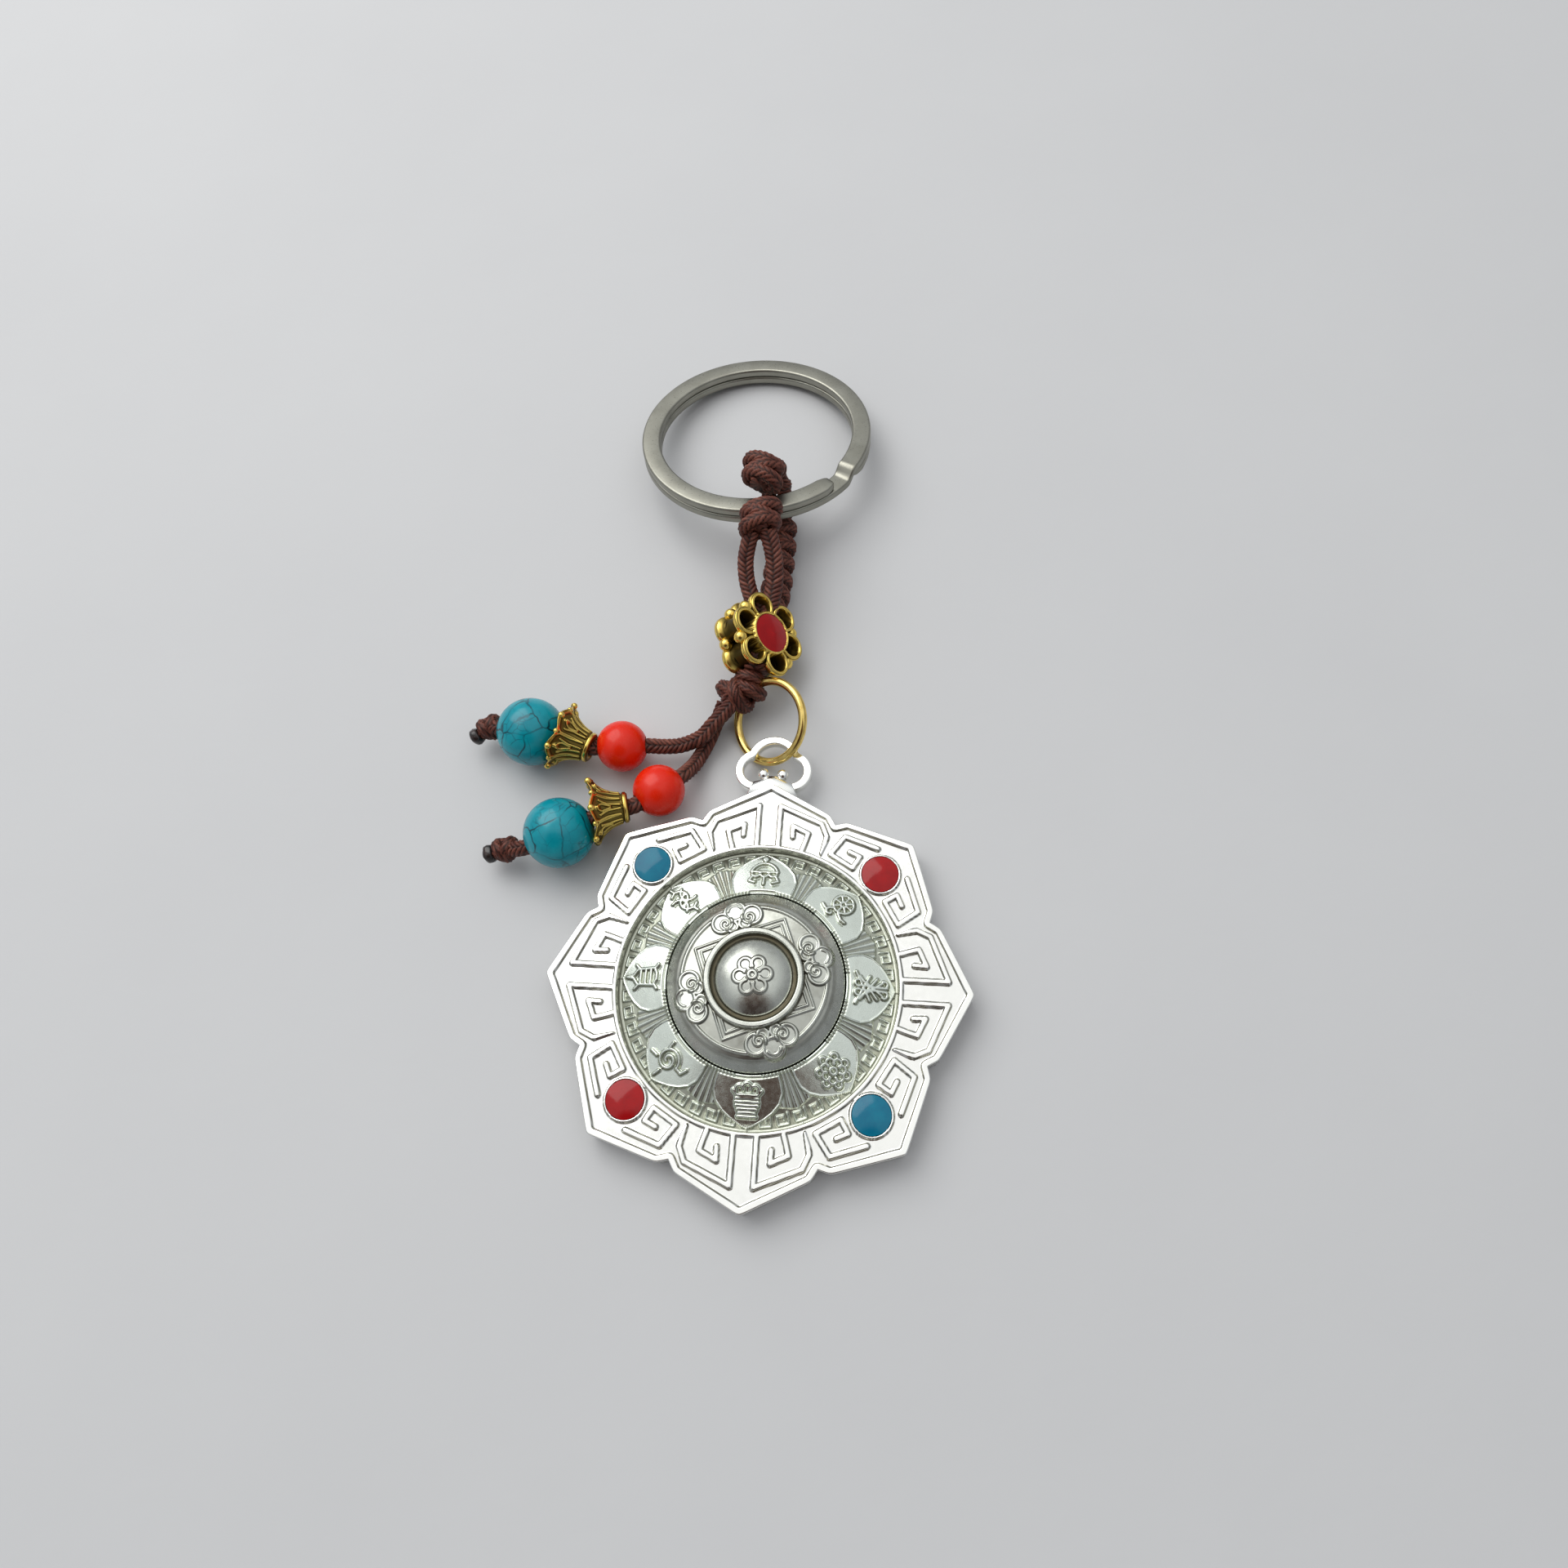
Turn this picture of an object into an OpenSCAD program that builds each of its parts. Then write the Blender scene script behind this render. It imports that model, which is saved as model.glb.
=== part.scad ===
// Key-ring prayer wheel: an eight-lobed lotus frame with a turning hub, hung by a jump ring from a
// knotted cord that carries a flower bead, two beaded tails and a split key ring.
// Millimetres. The origin is where the wheel's axis meets the plane of the frame's back face.
// +Z is the way the frame faces, +Y runs from the wheel towards the key ring.

/* [Frame] */
// Radius from the wheel's axis to the tip of each lobe
tip_r = 23; // [22.9:0.05:23.1]
// Radius to the two shoulders beside each tip
shoulder_r = 20.65; // [20.5:0.05:20.8]
// Radius to the notch between two lobes
notch_r = 19.8; // [19.6:0.05:20]
// Thickness of the cast frame
frame_h = 3.3; // [3.2:0.05:3.4]
// Radius of the well that holds the petal ring
well_r = 15.2; // [15.15:0.01:15.25]
// Height of the well's floor above the back face
web_h = 1.5; // [1.45:0.01:1.5]
// Width of the raised border round the lobes
border_w = 0.65; // [0.6:0.05:0.8]
// Radius of the enamel dots
dot_r = 2; // [1.9:0.05:2.1]
// Distance of the enamel dots from the axis
dot_at = 18; // [17.9:0.05:18.1]

/* [Wheel] */
// Outer radius of the turning drum
drum_r = 9.2; // [9.1:0.05:9.25]
// Radius of the petal ring's inner lip
lip_r = 9.6; // [9.55:0.05:9.7]
// Radius of the axle rivet's shank
shank_r = 1.5; // [1.4:0.05:1.6]
// Radial running clearance of the drum on the shank
run_gap = 0.05; // [0.03:0.01:0.08]
// Radius of the domed cap
cap_r = 4.1; // [4:0.05:4.15]

/* [Bail and rings] */
// Radius of the bail's two side lobes
bail_r = 2.5; // [2.45:0.05:2.55]
// Width of the bail's bar
bail_w = 0.95; // [0.9:0.05:1]
// Centre-line radius of the jump ring
jump_r = 4.75; // [4.7:0.05:4.8]
// Wire diameter of the jump ring
jump_wire = 1; // [0.9:0.05:1]
// Outer radius of the split key ring
key_r = 15; // [14.9:0.1:15.1]
// Radial width of the split ring's wire
key_w = 2.4; // [2.3:0.05:2.5]
// Thickness of the split ring's two coils together
key_h = 2.2; // [2.1:0.05:2.2]

/* [Beads and cord] */
// Diameter of the braided cord
cord_d = 1.8; // [1.7:0.05:1.85]
// Diameter of the coral beads
coral_d = 6; // [5.9:0.05:6]
// Diameter of the turquoise beads
turquoise_d = 8; // [7.9:0.05:8]
// Radius of the beads' holes
bead_hole_r = 1.1; // [1.05:0.01:1.15]
// Radius of the bead caps' wide rims
cap_wide_r = 4.3; // [4.2:0.05:4.3]

/* [Hidden] */
$fn = 64;
eps = 0.01;

// Frame
lobes = 8;
lobe_step = 360 / lobes;
shoulder_a = 19.6;
dot_sink = 0.5;
dot_crown = 0.3;
border_drop = 0.25;

// Axle and wheel heights, from the back face up
rivet_head_r = 3;
rivet_head_h = 0.7;
axial_gap = 0.05;
thrust_h = 0.3;
thrust_r = 4;
boss_z = web_h + thrust_h + axial_gap;
boss_r = 3.6;
pocket_z = 4.6;
pocket_r = 3.3;
retainer_h = 0.4;
retainer_r = 2.8;
retainer_z = pocket_z + axial_gap;
peen_h = 0.3;
peen_r = 1.9;
cap_seat_z = 6.1;
cap_edge_z = 6.55;
cap_top_z = 7.9;
cap_rise = cap_top_z - cap_edge_z;
cap_sphere_r = (cap_r * cap_r + cap_rise * cap_rise) / (2 * cap_rise);
rim_in_r = 4.6;
rim_out_r = 5.2;
rim_z = 7;
lip_z = 4.3;
petal_rise = 0.35;
petal_tip_r = 14.6;
cloud_at = 6.65;
cloud_turn = 20.3;

// Bail: a cloud of three lobes on the top tip, with a ridged foot and two balls in its opening
bail_side = 1.95;
bail_low_y = 24.9;
bail_top_y = 26.1;
bail_top_more = 0.6;
bail_z0 = 1.6;
bail_z1 = 2.75;
bail_ball_at = [1.08, 24.3, 2.25];
bail_ball_r = 0.62;

// Jump ring: threaded through the bail, its left side on the ground
jump_at = [-0.8, 30.8, 3.4];
jump_lean = 19.4;
jump_roll = -33;

// The knot's hinge on the jump ring, a point of the wire and the wire's direction there
knot_hinge = [-3.91, 34.35, 2.87];
knot_axis = [-0.555, -0.574, -0.602];
knot_end = [-6.9, 34.4, 2.3];
knot_dir = [2, 0.3, 0.8];

// Flower bead: its face leans to +X
flower_at = [-2.7, 40.65, 5.3];
flower_lean = 46;
flower_turn = -4;
flower_h = 4.4;
hub_h = 4.8;
petal_at = 3.45;
petal_r = 1.75;
petal_hole_r = 1.05;
enamel_r = 2.35;
enamel_sink = 0.45;
ball_h = 3.8;
bore_r = 1.7;
bore_y0 = 36.4;
bore_y1 = 44.9;

// Split ring: the far edge stands on the ground, the near edge is held up by the cord
key_at = [-5.5, 71.8, 3.95];
key_tilt = -11;
key_seam = 0.12;
upper_end_a = -42;
lower_end_a = -27;

// Routes of the cords, hand-chosen points along their centre lines
left_strand_route = [[-3.5, 44.6, 5.6], [-3.9, 46, 5.9], [-4.6, 48.2, 6.5], [-4.8, 50.6, 7.6],
    [-4.2, 53, 9.1]];
right_strand_route = [[-1.6, 44.6, 5.8], [-1.4, 46, 6.1], [-1.2, 48.2, 6.8], [-1.4, 50.8, 7.9],
    [-2.2, 53.1, 9.2]];
knot_centres = [[-3.4, 61.3, 9.6], [-3.1, 55.2, 9.6]];
knot_r = 2.2;
sinnet_route = [[-1.9, 44.6, 4.3], [-1.6, 46.8, 3.4], [-1.4, 50, 2.4], [-1.3, 54, 2.1], [-1.3, 58, 2.15],
    [-1.7, 61.4, 2.8]];
fold_route = [[-1.7, 61.4, 2.8], [-2.3, 63.2, 4.2], [-2.9, 64.1, 6.2], [-3.3, 63.9, 8.2],
    [-3.4, 62.6, 9.5]];
upper_route = [[-5, 33.1, 4.2], [-6.3, 31.5, 3.8], [-7.5, 30.1, 3.5], [-8.8, 28.7, 3], [-11.1, 27.8, 2.5],
    [-13.3, 27.5, 2.6], [-15, 27.3, 3.1], [-18, 27, 3.4], [-20.9, 26.6, 3.7], [-21.4, 26.5, 3.8],
    [-23.2, 27.1, 4.2], [-24.8, 27.6, 4.5], [-28.8, 28, 4.5], [-32.5, 28.4, 4.4], [-34.2, 28.8, 3.4]];
lower_route = [[-6.6, 33.6, 2.3], [-7, 32.6, 1.8], [-7.5, 31.3, 1.3], [-8.3, 28.9, 1], [-9.4, 26, 1.5],
    [-10.2, 24.4, 2.4], [-10.8, 23.5, 3], [-13, 21.6, 3.4], [-15.2, 19.7, 3.8], [-16.2, 19.2, 3.9],
    [-18.2, 18.4, 4.4], [-20.1, 17.3, 4.7], [-23.6, 15.6, 4.5], [-27.1, 13.9, 4.2], [-29.9, 13.8, 3]];

// Beads: centre and the direction of the hole, out along each tail
upper_coral_at = [-18, 27, 3.4];
upper_coral_dir = [-5.9, -0.7, 0.6];
lower_coral_at = [-13, 21.6, 3.4];
lower_coral_dir = [-4.4, -3.8, 0.8];
upper_cap_at = [-21.4, 26.4, 3.8];
upper_cap_dir = [-3.9, 1.3, 0.6];
lower_cap_at = [-16.2, 19.3, 3.8];
lower_cap_dir = [-3.8, -1, 0.6];
upper_turquoise_at = [-28.8, 28, 4.5];
upper_turquoise_dir = [-7.7, 0.8, -0.1];
lower_turquoise_at = [-23.6, 15.6, 4.5];
lower_turquoise_dir = [-7, -3.4, -0.5];
upper_knot_at = [-34.5, 28.8, 3.2];
lower_knot_at = [-30.2, 13.8, 2.8];
end_knot_r = 1.7;
upper_tip_at = [-36.2, 27.9, 2.6];
lower_tip_at = [-32, 13.4, 2.4];
tip_cap_r = 1.05;

// Bead cap profile
cap_len = 4.3;
cap_wall = 0.55;
cap_narrow_r = 1.6;
cap_hole_r = 1.15;
rim_scallop_r = 0.5;

// ---- functions ----

function unit(v) = v / norm(v);
function spline_at(a, b, c, d, t) =
    0.5 * ((2 * b) + (c - a) * t + (2 * a - 5 * b + 4 * c - d) * t * t
        + (3 * b - a - 3 * c + d) * t * t * t);
// A smooth line through the points p, with n steps between neighbours
function smooth(p, n) = [
    for (i = [0:len(p) - 2]) for (s = [0:n - 1])
        spline_at(p[max(i - 1, 0)], p[i], p[i + 1], p[min(i + 2, len(p) - 1)], s / n),
    p[len(p) - 1]
];
function tangent(p, i) = unit(p[min(i + 1, len(p) - 1)] - p[max(i - 1, 0)]);
// A ring of k points round p[i], w across and h high, square to the line; side fixes its across direction
function ring_at(p, i, w, h, k, side) =
    let (t = tangent(p, i), up = unit(cross(t, side)), across = cross(up, t))
    [for (j = [0:k - 1]) p[i] + across * (w / 2 * cos(360 * j / k)) + up * (h / 2 * sin(360 * j / k))];

function polar(r, a) = [r * sin(a), r * cos(a)];
function lotus_outline(tip, shoulder, notch) = [
    for (i = [0:lobes - 1])
        for (c = [[tip, 0], [shoulder, shoulder_a], [notch, lobe_step / 2],
            [shoulder, lobe_step - shoulder_a]])
            polar(c[0], i * lobe_step + c[1])
];

// ---- helpers ----

module sweep(p, w, h, k = 8, side = [0, 0, 1]) {
    n = len(p);
    points = [for (i = [0:n - 1]) each ring_at(p, i, w, h, k, side)];
    sides = [
        for (i = [0:n - 2]) for (j = [0:k - 1])
            let (a = i * k + j, b = i * k + (j + 1) % k) each [[a, b + k, b], [a, a + k, b + k]]
    ];
    first = [for (j = [1:k - 2]) [0, j, j + 1]];
    last = [for (j = [1:k - 2]) let (o = (n - 1) * k) [o, o + j + 1, o + j]];
    polyhedron(points = points, faces = concat(sides, first, last), convexity = 6);
}
// Stands the children's +Z along d, with their origin at p
module along(p, d) {
    translate(p)
        rotate([0, acos(d[2] / norm(d)), atan2(d[1], d[0])])
            children();
}
module ring_wire(r, wire_r) {
    rotate_extrude($fn = 96)
        translate([r, 0])
            circle(wire_r, $fn = 32);
}
module jump_place() {
    translate(jump_at)
        rotate([0, jump_roll, 0])
            rotate([jump_lean, 0, 0])
                children();
}
module flower_place() {
    translate(flower_at)
        rotate([0, flower_lean, 0])
            children();
}

// ---- medallion ----

module bail_disc(r) {
    for (s = [-1, 1]) translate([s * bail_side, bail_low_y]) circle(r);
    translate([0, bail_top_y]) circle(r + bail_top_more);
}
module bail() {
    translate([0, 0, bail_z0])
        linear_extrude(bail_z1 - bail_z0)
            difference() {
                union() {
                    bail_disc(bail_r);
                    polygon([[-3.2, 20.8], [3.2, 20.8], [3.2, 22.2], [-3.2, 22.2]]);
                }
                difference() {
                    bail_disc(bail_r - bail_w);
                    polygon([[-4.4, 22], [4.4, 22], [3.3, 22.9], [0, 24], [-3.3, 22.9]]);
                }
            }
    for (s = [-1, 1])
        translate([s * bail_ball_at[0], bail_ball_at[1], bail_ball_at[2]])
            sphere(bail_ball_r, $fn = 32);
}
module lotus_frame() {
    color([0.93, 0.93, 0.9])
    difference() {
        union() {
            linear_extrude(frame_h)
                polygon(lotus_outline(tip_r, shoulder_r, notch_r));
            bail();
        }
        translate([0, 0, web_h]) cylinder(r = well_r, h = frame_h, $fn = 128);
        // the sunken line inside the border
        translate([0, 0, frame_h - border_drop])
            linear_extrude(1)
                difference() {
                    polygon(lotus_outline(tip_r - border_w, shoulder_r - border_w, notch_r - border_w));
                    polygon(lotus_outline(tip_r - border_w - 0.4, shoulder_r - border_w - 0.4,
                        notch_r - border_w - 0.4));
                }
        for (i = [0:3])
            rotate(45 + 90 * i) translate([dot_at, 0, frame_h - dot_sink]) cylinder(r = dot_r, h = 1);
        translate([0, 0, -eps]) cylinder(r = rivet_head_r, h = rivet_head_h + eps);
        cylinder(r = shank_r, h = frame_h);
    }
}
module enamel_dot(r, depth, crown) {
    // a drop of enamel that fills a socket and crowns above it
    cylinder(r = r, h = depth);
    crown_r = (r * r + crown * crown) / (2 * crown);
    translate([0, 0, depth])
        intersection() {
            translate([0, 0, crown - crown_r]) sphere(crown_r, $fn = 96);
            cylinder(r = r, h = crown + 1);
        }
}
module enamel_pair(first_a) {
    for (i = [0:1])
        rotate(first_a + 180 * i)
            translate([dot_at, 0, frame_h - dot_sink])
                enamel_dot(dot_r, dot_sink, dot_crown);
}
module teal_enamel() {
    color([0.05, 0.45, 0.55]) enamel_pair(135);
}
module red_enamel() {
    color([0.7, 0.05, 0.06]) enamel_pair(45);
}
module petal_cone(rise) {
    rotate_extrude($fn = 128)
        polygon([[lip_r, web_h], [well_r, web_h], [well_r, web_h + 0.5], [14.4, web_h + 0.6 + rise],
            [lip_r + 0.3, lip_z - 0.35 + rise], [lip_r, lip_z - 0.35 + rise]]);
}
module petal_ring() {
    color([0.72, 0.74, 0.68])
    union() {
        petal_cone(0);
        intersection() {
            petal_cone(petal_rise);
            for (i = [0:lobes - 1])
                rotate(i * lobe_step)
                    linear_extrude(lip_z + 1)
                        polygon([[-3.1, 8], [3.1, 8], [3.3, 11], [2.2, 13.2], [0, petal_tip_r],
                            [-2.2, 13.2], [-3.3, 11]]);
        }
    }
}
module axle_rivet() {
    color([0.7, 0.7, 0.68])
    union() {
        cylinder(r = rivet_head_r, h = rivet_head_h);
        cylinder(r = shank_r, h = retainer_z + retainer_h + peen_h);
        translate([0, 0, retainer_z + retainer_h]) cylinder(r = peen_r, h = peen_h);
    }
}
module washer(z, h, r, hole_r) {
    translate([0, 0, z])
        difference() {
            cylinder(r = r, h = h);
            translate([0, 0, -eps]) cylinder(r = hole_r, h = h + 2 * eps);
        }
}
module thrust_washer() {
    color([0.8, 0.78, 0.7]) washer(web_h, thrust_h, thrust_r, shank_r + run_gap);
}
module retaining_washer() {
    color([0.6, 0.6, 0.6]) washer(retainer_z, retainer_h, retainer_r, shank_r);
}

// ---- wheel ----

module drum_skin(rise) {
    rotate_extrude($fn = 128)
        polygon([[shank_r + run_gap, boss_z], [boss_r, boss_z], [boss_r, 4], [7.6, 4], [8.4, 3.2],
            [8.5, 2.2], [drum_r, 2.2], [drum_r, 4.4], [8.8, 5.1], [7.9, 5.75 + rise],
            [rim_out_r, 6.2 + rise],
            [rim_out_r, rim_z], [rim_in_r, rim_z], [rim_in_r, cap_edge_z], [cap_r, cap_edge_z],
            [cap_r, cap_seat_z], [pocket_r, cap_seat_z], [pocket_r, pocket_z],
            [shank_r + run_gap, pocket_z]]);
}
module cloud_outline() {
    translate([0, cloud_at + 0.55]) circle(1.2);
    for (s = [-1, 1]) translate([s * 1.35, cloud_at - 0.15]) circle(1.2);
    translate([0, cloud_at - 0.5]) square([2.6, 1.2], center = true);
}
module hub_drum() {
    color([0.68, 0.69, 0.66])
    union() {
        drum_skin(0);
        intersection() {
            drum_skin(0.35);
            for (i = [0:3])
                rotate(cloud_turn + 90 * i)
                    translate([0, 0, 5])
                        linear_extrude(3) cloud_outline();
        }
    }
}
module dome_cap() {
    color([0.75, 0.75, 0.7])
    intersection() {
        translate([0, 0, cap_top_z - cap_sphere_r]) sphere(cap_sphere_r, $fn = 128);
        translate([0, 0, cap_seat_z]) cylinder(r = cap_r, h = 3, $fn = 96);
    }
}

// ---- jump ring and strap ----

module jump_ring() {
    color([0.85, 0.65, 0.2])
    jump_place() ring_wire(jump_r, jump_wire / 2);
}
module button_knot() {
    color([0.3, 0.14, 0.11])
    difference() {
        along(knot_end, knot_dir)
            rotate_extrude()
                polygon([[0, 0], [1.3, 0.3], [2.05, 1.1], [2.3, 2.3], [2.25, 3.6], [1.95, 4.8], [1.2, 5.8],
                    [0, 6.1]]);
        // a waisted hole that lets the knot swing on the bent wire
        along(knot_hinge, knot_axis)
            rotate_extrude()
                polygon([[0, -4.4], [3.3, -4.4], [1.75, -3], [0.95, -1.6], [0.64, 0], [0.95, 1.6],
                    [1.75, 3],
                    [3.3, 4.4], [0, 4.4]]);
    }
}
module bore_cord() {
    // the doubled cord in the flower bead's bore
    color([0.3, 0.14, 0.11])
    translate([flower_at[0], bore_y0, flower_at[2]])
        rotate([-90, 0, 0]) cylinder(r = bore_r - 0.2, h = bore_y1 - bore_y0);
}
module flower_bead() {
    color([0.72, 0.55, 0.14])
    flower_place()
    difference() {
        union() {
            cylinder(r = enamel_r + 0.4, h = hub_h, center = true);
            for (i = [0:5])
                rotate(flower_turn + 60 * i)
                    translate([petal_at, 0, 0]) cylinder(r = petal_r, h = flower_h, center = true,
                        $fn = 48);
            for (a = [30, 150, 210, 330])
                rotate(flower_turn + a)
                    translate([4.1, 0, 0]) cylinder(r = 0.72, h = ball_h, center = true, $fn = 32);
        }
        for (i = [0:5])
            rotate(flower_turn + 60 * i)
                translate([petal_at + 0.3, 0, 0]) cylinder(r = petal_hole_r, h = 6, center = true,
                    $fn = 32);
        rotate([90, 0, 0]) cylinder(r = bore_r, h = 12, center = true);
        for (s = [-1, 1])
            translate([0, 0, s * (hub_h / 2 - enamel_sink / 2 + eps)])
                cylinder(r = enamel_r, h = enamel_sink + 2 * eps, center = true);
    }
}
module flower_enamel_front() {
    color([0.7, 0.02, 0.03])
    flower_place()
    translate([0, 0, hub_h / 2 - enamel_sink]) enamel_dot(enamel_r, enamel_sink, 0.3);
}
module flower_enamel_back() {
    color([0.7, 0.02, 0.03])
    flower_place()
    rotate([180, 0, 0])
        translate([0, 0, hub_h / 2 - enamel_sink]) enamel_dot(enamel_r, enamel_sink, 0.3);
}
module left_front_strand() {
    color([0.3, 0.14, 0.11]) sweep(smooth(left_strand_route, 2), cord_d, cord_d);
}
module right_front_strand() {
    color([0.3, 0.14, 0.11]) sweep(smooth(right_strand_route, 2), cord_d, cord_d);
}
module front_knots() {
    color([0.3, 0.14, 0.11])
    for (c = knot_centres)
        translate(c)
            rotate([0, 90, 0])
                rotate_extrude()
                    polygon([[0, -2.5], [1.4, -2.4], [knot_r - 0.25, -1.9], [knot_r, -0.9], [knot_r, 0.9],
                        [knot_r - 0.25, 1.9], [1.4, 2.4], [0, 2.5]]);
}
module loop_fold() {
    color([0.3, 0.14, 0.11]) sweep(smooth(fold_route, 2), 4, 3.2, 12, [1, 0, 0]);
}
module rear_sinnet() {
    color([0.3, 0.14, 0.11]) sweep(smooth(sinnet_route, 2), 4, 4, 12, [1, 0, 0]);
}

// ---- tails ----

module tail_cord(route) {
    color([0.32, 0.15, 0.12]) sweep(smooth(route, 2), cord_d, cord_d);
}
module upper_tail_cord() {
    tail_cord(upper_route);
}
module lower_tail_cord() {
    tail_cord(lower_route);
}
module end_knot(at) {
    color([0.3, 0.14, 0.11]) translate(at) sphere(end_knot_r, $fn = 48);
}
module upper_end_knot() {
    end_knot(upper_knot_at);
}
module lower_end_knot() {
    end_knot(lower_knot_at);
}
module sealed_tip(from, to) {
    // the melted end of the cord, from the knot's skin outwards
    d = to - from;
    color([0.06, 0.05, 0.05])
    difference() {
        along(from, d) {
            cylinder(r = tip_cap_r, h = norm(d));
            translate([0, 0, norm(d)]) sphere(tip_cap_r, $fn = 32);
        }
        translate(from) sphere(end_knot_r, $fn = 48);
    }
}
module upper_sealed_tip() {
    sealed_tip(upper_knot_at, upper_tip_at);
}
module lower_sealed_tip() {
    sealed_tip(lower_knot_at, lower_tip_at);
}
module bead(at, dir, d) {
    along(at, dir)
        difference() {
            sphere(d / 2, $fn = 96);
            cylinder(r = bead_hole_r, h = d + 1, center = true, $fn = 48);
        }
}
module upper_coral_bead() {
    color([0.9, 0.15, 0.06]) bead(upper_coral_at, upper_coral_dir, coral_d);
}
module lower_coral_bead() {
    color([0.9, 0.15, 0.06]) bead(lower_coral_at, lower_coral_dir, coral_d);
}
module upper_turquoise_bead() {
    color([0.06, 0.55, 0.62]) bead(upper_turquoise_at, upper_turquoise_dir, turquoise_d);
}
module lower_turquoise_bead() {
    color([0.06, 0.55, 0.62]) bead(lower_turquoise_at, lower_turquoise_dir, turquoise_d);
}
module bead_cap(at, dir) {
    // a flared cup, narrow end at the origin, with six rounded scallops on its rim
    flare_r = cap_wide_r - rim_scallop_r;
    color([0.7, 0.55, 0.16])
    along(at, dir)
        difference() {
            union() {
                rotate_extrude()
                    polygon([[0, 0], [cap_narrow_r, 0], [cap_narrow_r + 0.1, 1.2], [2.3, 2.6],
                        [flare_r, cap_len], [0, cap_len]]);
                for (i = [0:5])
                    rotate(60 * i)
                        translate([flare_r - 0.1, 0, cap_len - 0.5]) sphere(rim_scallop_r + 0.1, $fn = 24);
            }
            translate([0, 0, -eps]) cylinder(r = cap_hole_r, h = cap_len, $fn = 48);
            rotate_extrude()
                polygon([[0, 0.7], [cap_narrow_r - cap_wall + 0.1, 0.7], [1.75, 2.6],
                    [flare_r - cap_wall, cap_len + eps], [flare_r - cap_wall, cap_len + 2],
                    [0, cap_len + 2]]);
        }
}
module upper_bead_cap() {
    bead_cap(upper_cap_at, upper_cap_dir);
}
module lower_bead_cap() {
    bead_cap(lower_cap_at, lower_cap_dir);
}

// ---- key ring ----

module end_step(a, lift) {
    // the step where one coil of the wire ends
    rotate(a)
        translate([key_r - key_w - 0.5, -0.35, lift])
            cube([key_w + 1, 0.7, key_h / 2 + 0.1]);
}
module split_ring() {
    r_in = key_r - key_w;
    color([0.62, 0.61, 0.56])
    translate(key_at)
        rotate([key_tilt, 0, 0])
            difference() {
                rotate_extrude($fn = 128)
                    polygon([[r_in, -key_h / 2 + 0.3], [r_in + 0.3, -key_h / 2], [key_r - 0.3, -key_h / 2],
                        [key_r, -key_h / 2 + 0.3], [key_r, -key_seam], [key_r - key_seam, 0],
                        [key_r, key_seam],
                        [key_r, key_h / 2 - 0.3], [key_r - 0.3, key_h / 2], [r_in + 0.3, key_h / 2],
                        [r_in, key_h / 2 - 0.3], [r_in, key_seam], [r_in + key_seam, 0],
                        [r_in, -key_seam]]);
                end_step(upper_end_a, 0);
                end_step(lower_end_a, -key_h / 2 - 0.1);
            }
}

lotus_frame();
petal_ring();
teal_enamel();
red_enamel();
axle_rivet();
thrust_washer();
retaining_washer();
hub_drum();
dome_cap();
jump_ring();
button_knot();
bore_cord();
flower_bead();
flower_enamel_front();
flower_enamel_back();
left_front_strand();
right_front_strand();
front_knots();
loop_fold();
rear_sinnet();
upper_tail_cord();
lower_tail_cord();
upper_end_knot();
lower_end_knot();
upper_sealed_tip();
lower_sealed_tip();
upper_coral_bead();
lower_coral_bead();
upper_bead_cap();
lower_bead_cap();
upper_turquoise_bead();
lower_turquoise_bead();
split_ring();
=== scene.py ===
import math

import bpy
import numpy as np
from mathutils import Matrix, Vector


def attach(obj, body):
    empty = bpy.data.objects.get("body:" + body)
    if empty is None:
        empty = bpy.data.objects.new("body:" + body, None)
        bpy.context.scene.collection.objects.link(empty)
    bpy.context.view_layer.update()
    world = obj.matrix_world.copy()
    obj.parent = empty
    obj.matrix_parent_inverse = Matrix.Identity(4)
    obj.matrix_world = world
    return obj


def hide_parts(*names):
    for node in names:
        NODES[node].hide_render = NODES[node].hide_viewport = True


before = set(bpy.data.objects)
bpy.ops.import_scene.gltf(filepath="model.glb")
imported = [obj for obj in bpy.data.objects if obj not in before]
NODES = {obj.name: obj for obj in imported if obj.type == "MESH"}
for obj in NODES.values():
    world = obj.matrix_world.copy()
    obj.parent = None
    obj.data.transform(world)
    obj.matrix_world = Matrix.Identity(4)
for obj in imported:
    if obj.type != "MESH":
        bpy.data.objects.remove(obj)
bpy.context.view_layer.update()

MM = 0.001
scene = bpy.context.scene

# ---------------------------------------------------------------- camera


def aim(obj, right, up, back, at_mm):
    """Stands obj at a point in mm with its own axes along right, up and back."""
    axes = Matrix((right, up, back)).transposed()
    obj.matrix_world = Matrix.Translation(Vector(at_mm) * MM) @ axes.to_4x4()


camera_data = bpy.data.cameras.new("camera")
camera_data.sensor_width = 36
camera_data.lens = 24.1875
camera_data.clip_start, camera_data.clip_end = 0.005, 5
camera = bpy.data.objects.new("camera", camera_data)
scene.collection.objects.link(camera)
aim(camera, (0.9951, 0.0674, -0.0717), (-0.0358, 0.9265, 0.3746), (0.0917, -0.3702, 0.9244),
    (12.48, -21.72, 114.98))
scene.camera = camera
scene.view_settings.view_transform = "Standard"

# ---------------------------------------------------------------- numbers, in mm

FLOWER_AT = np.array((-2.7, 40.7, 5.3))
FLOWER_LEAN = math.radians(46)
FLOWER_TURN = -4
RING_AT = np.array((-5.5, 71.8, 3.95))
RING_TILT = math.radians(-11)
CORD_D = 1.8

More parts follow.
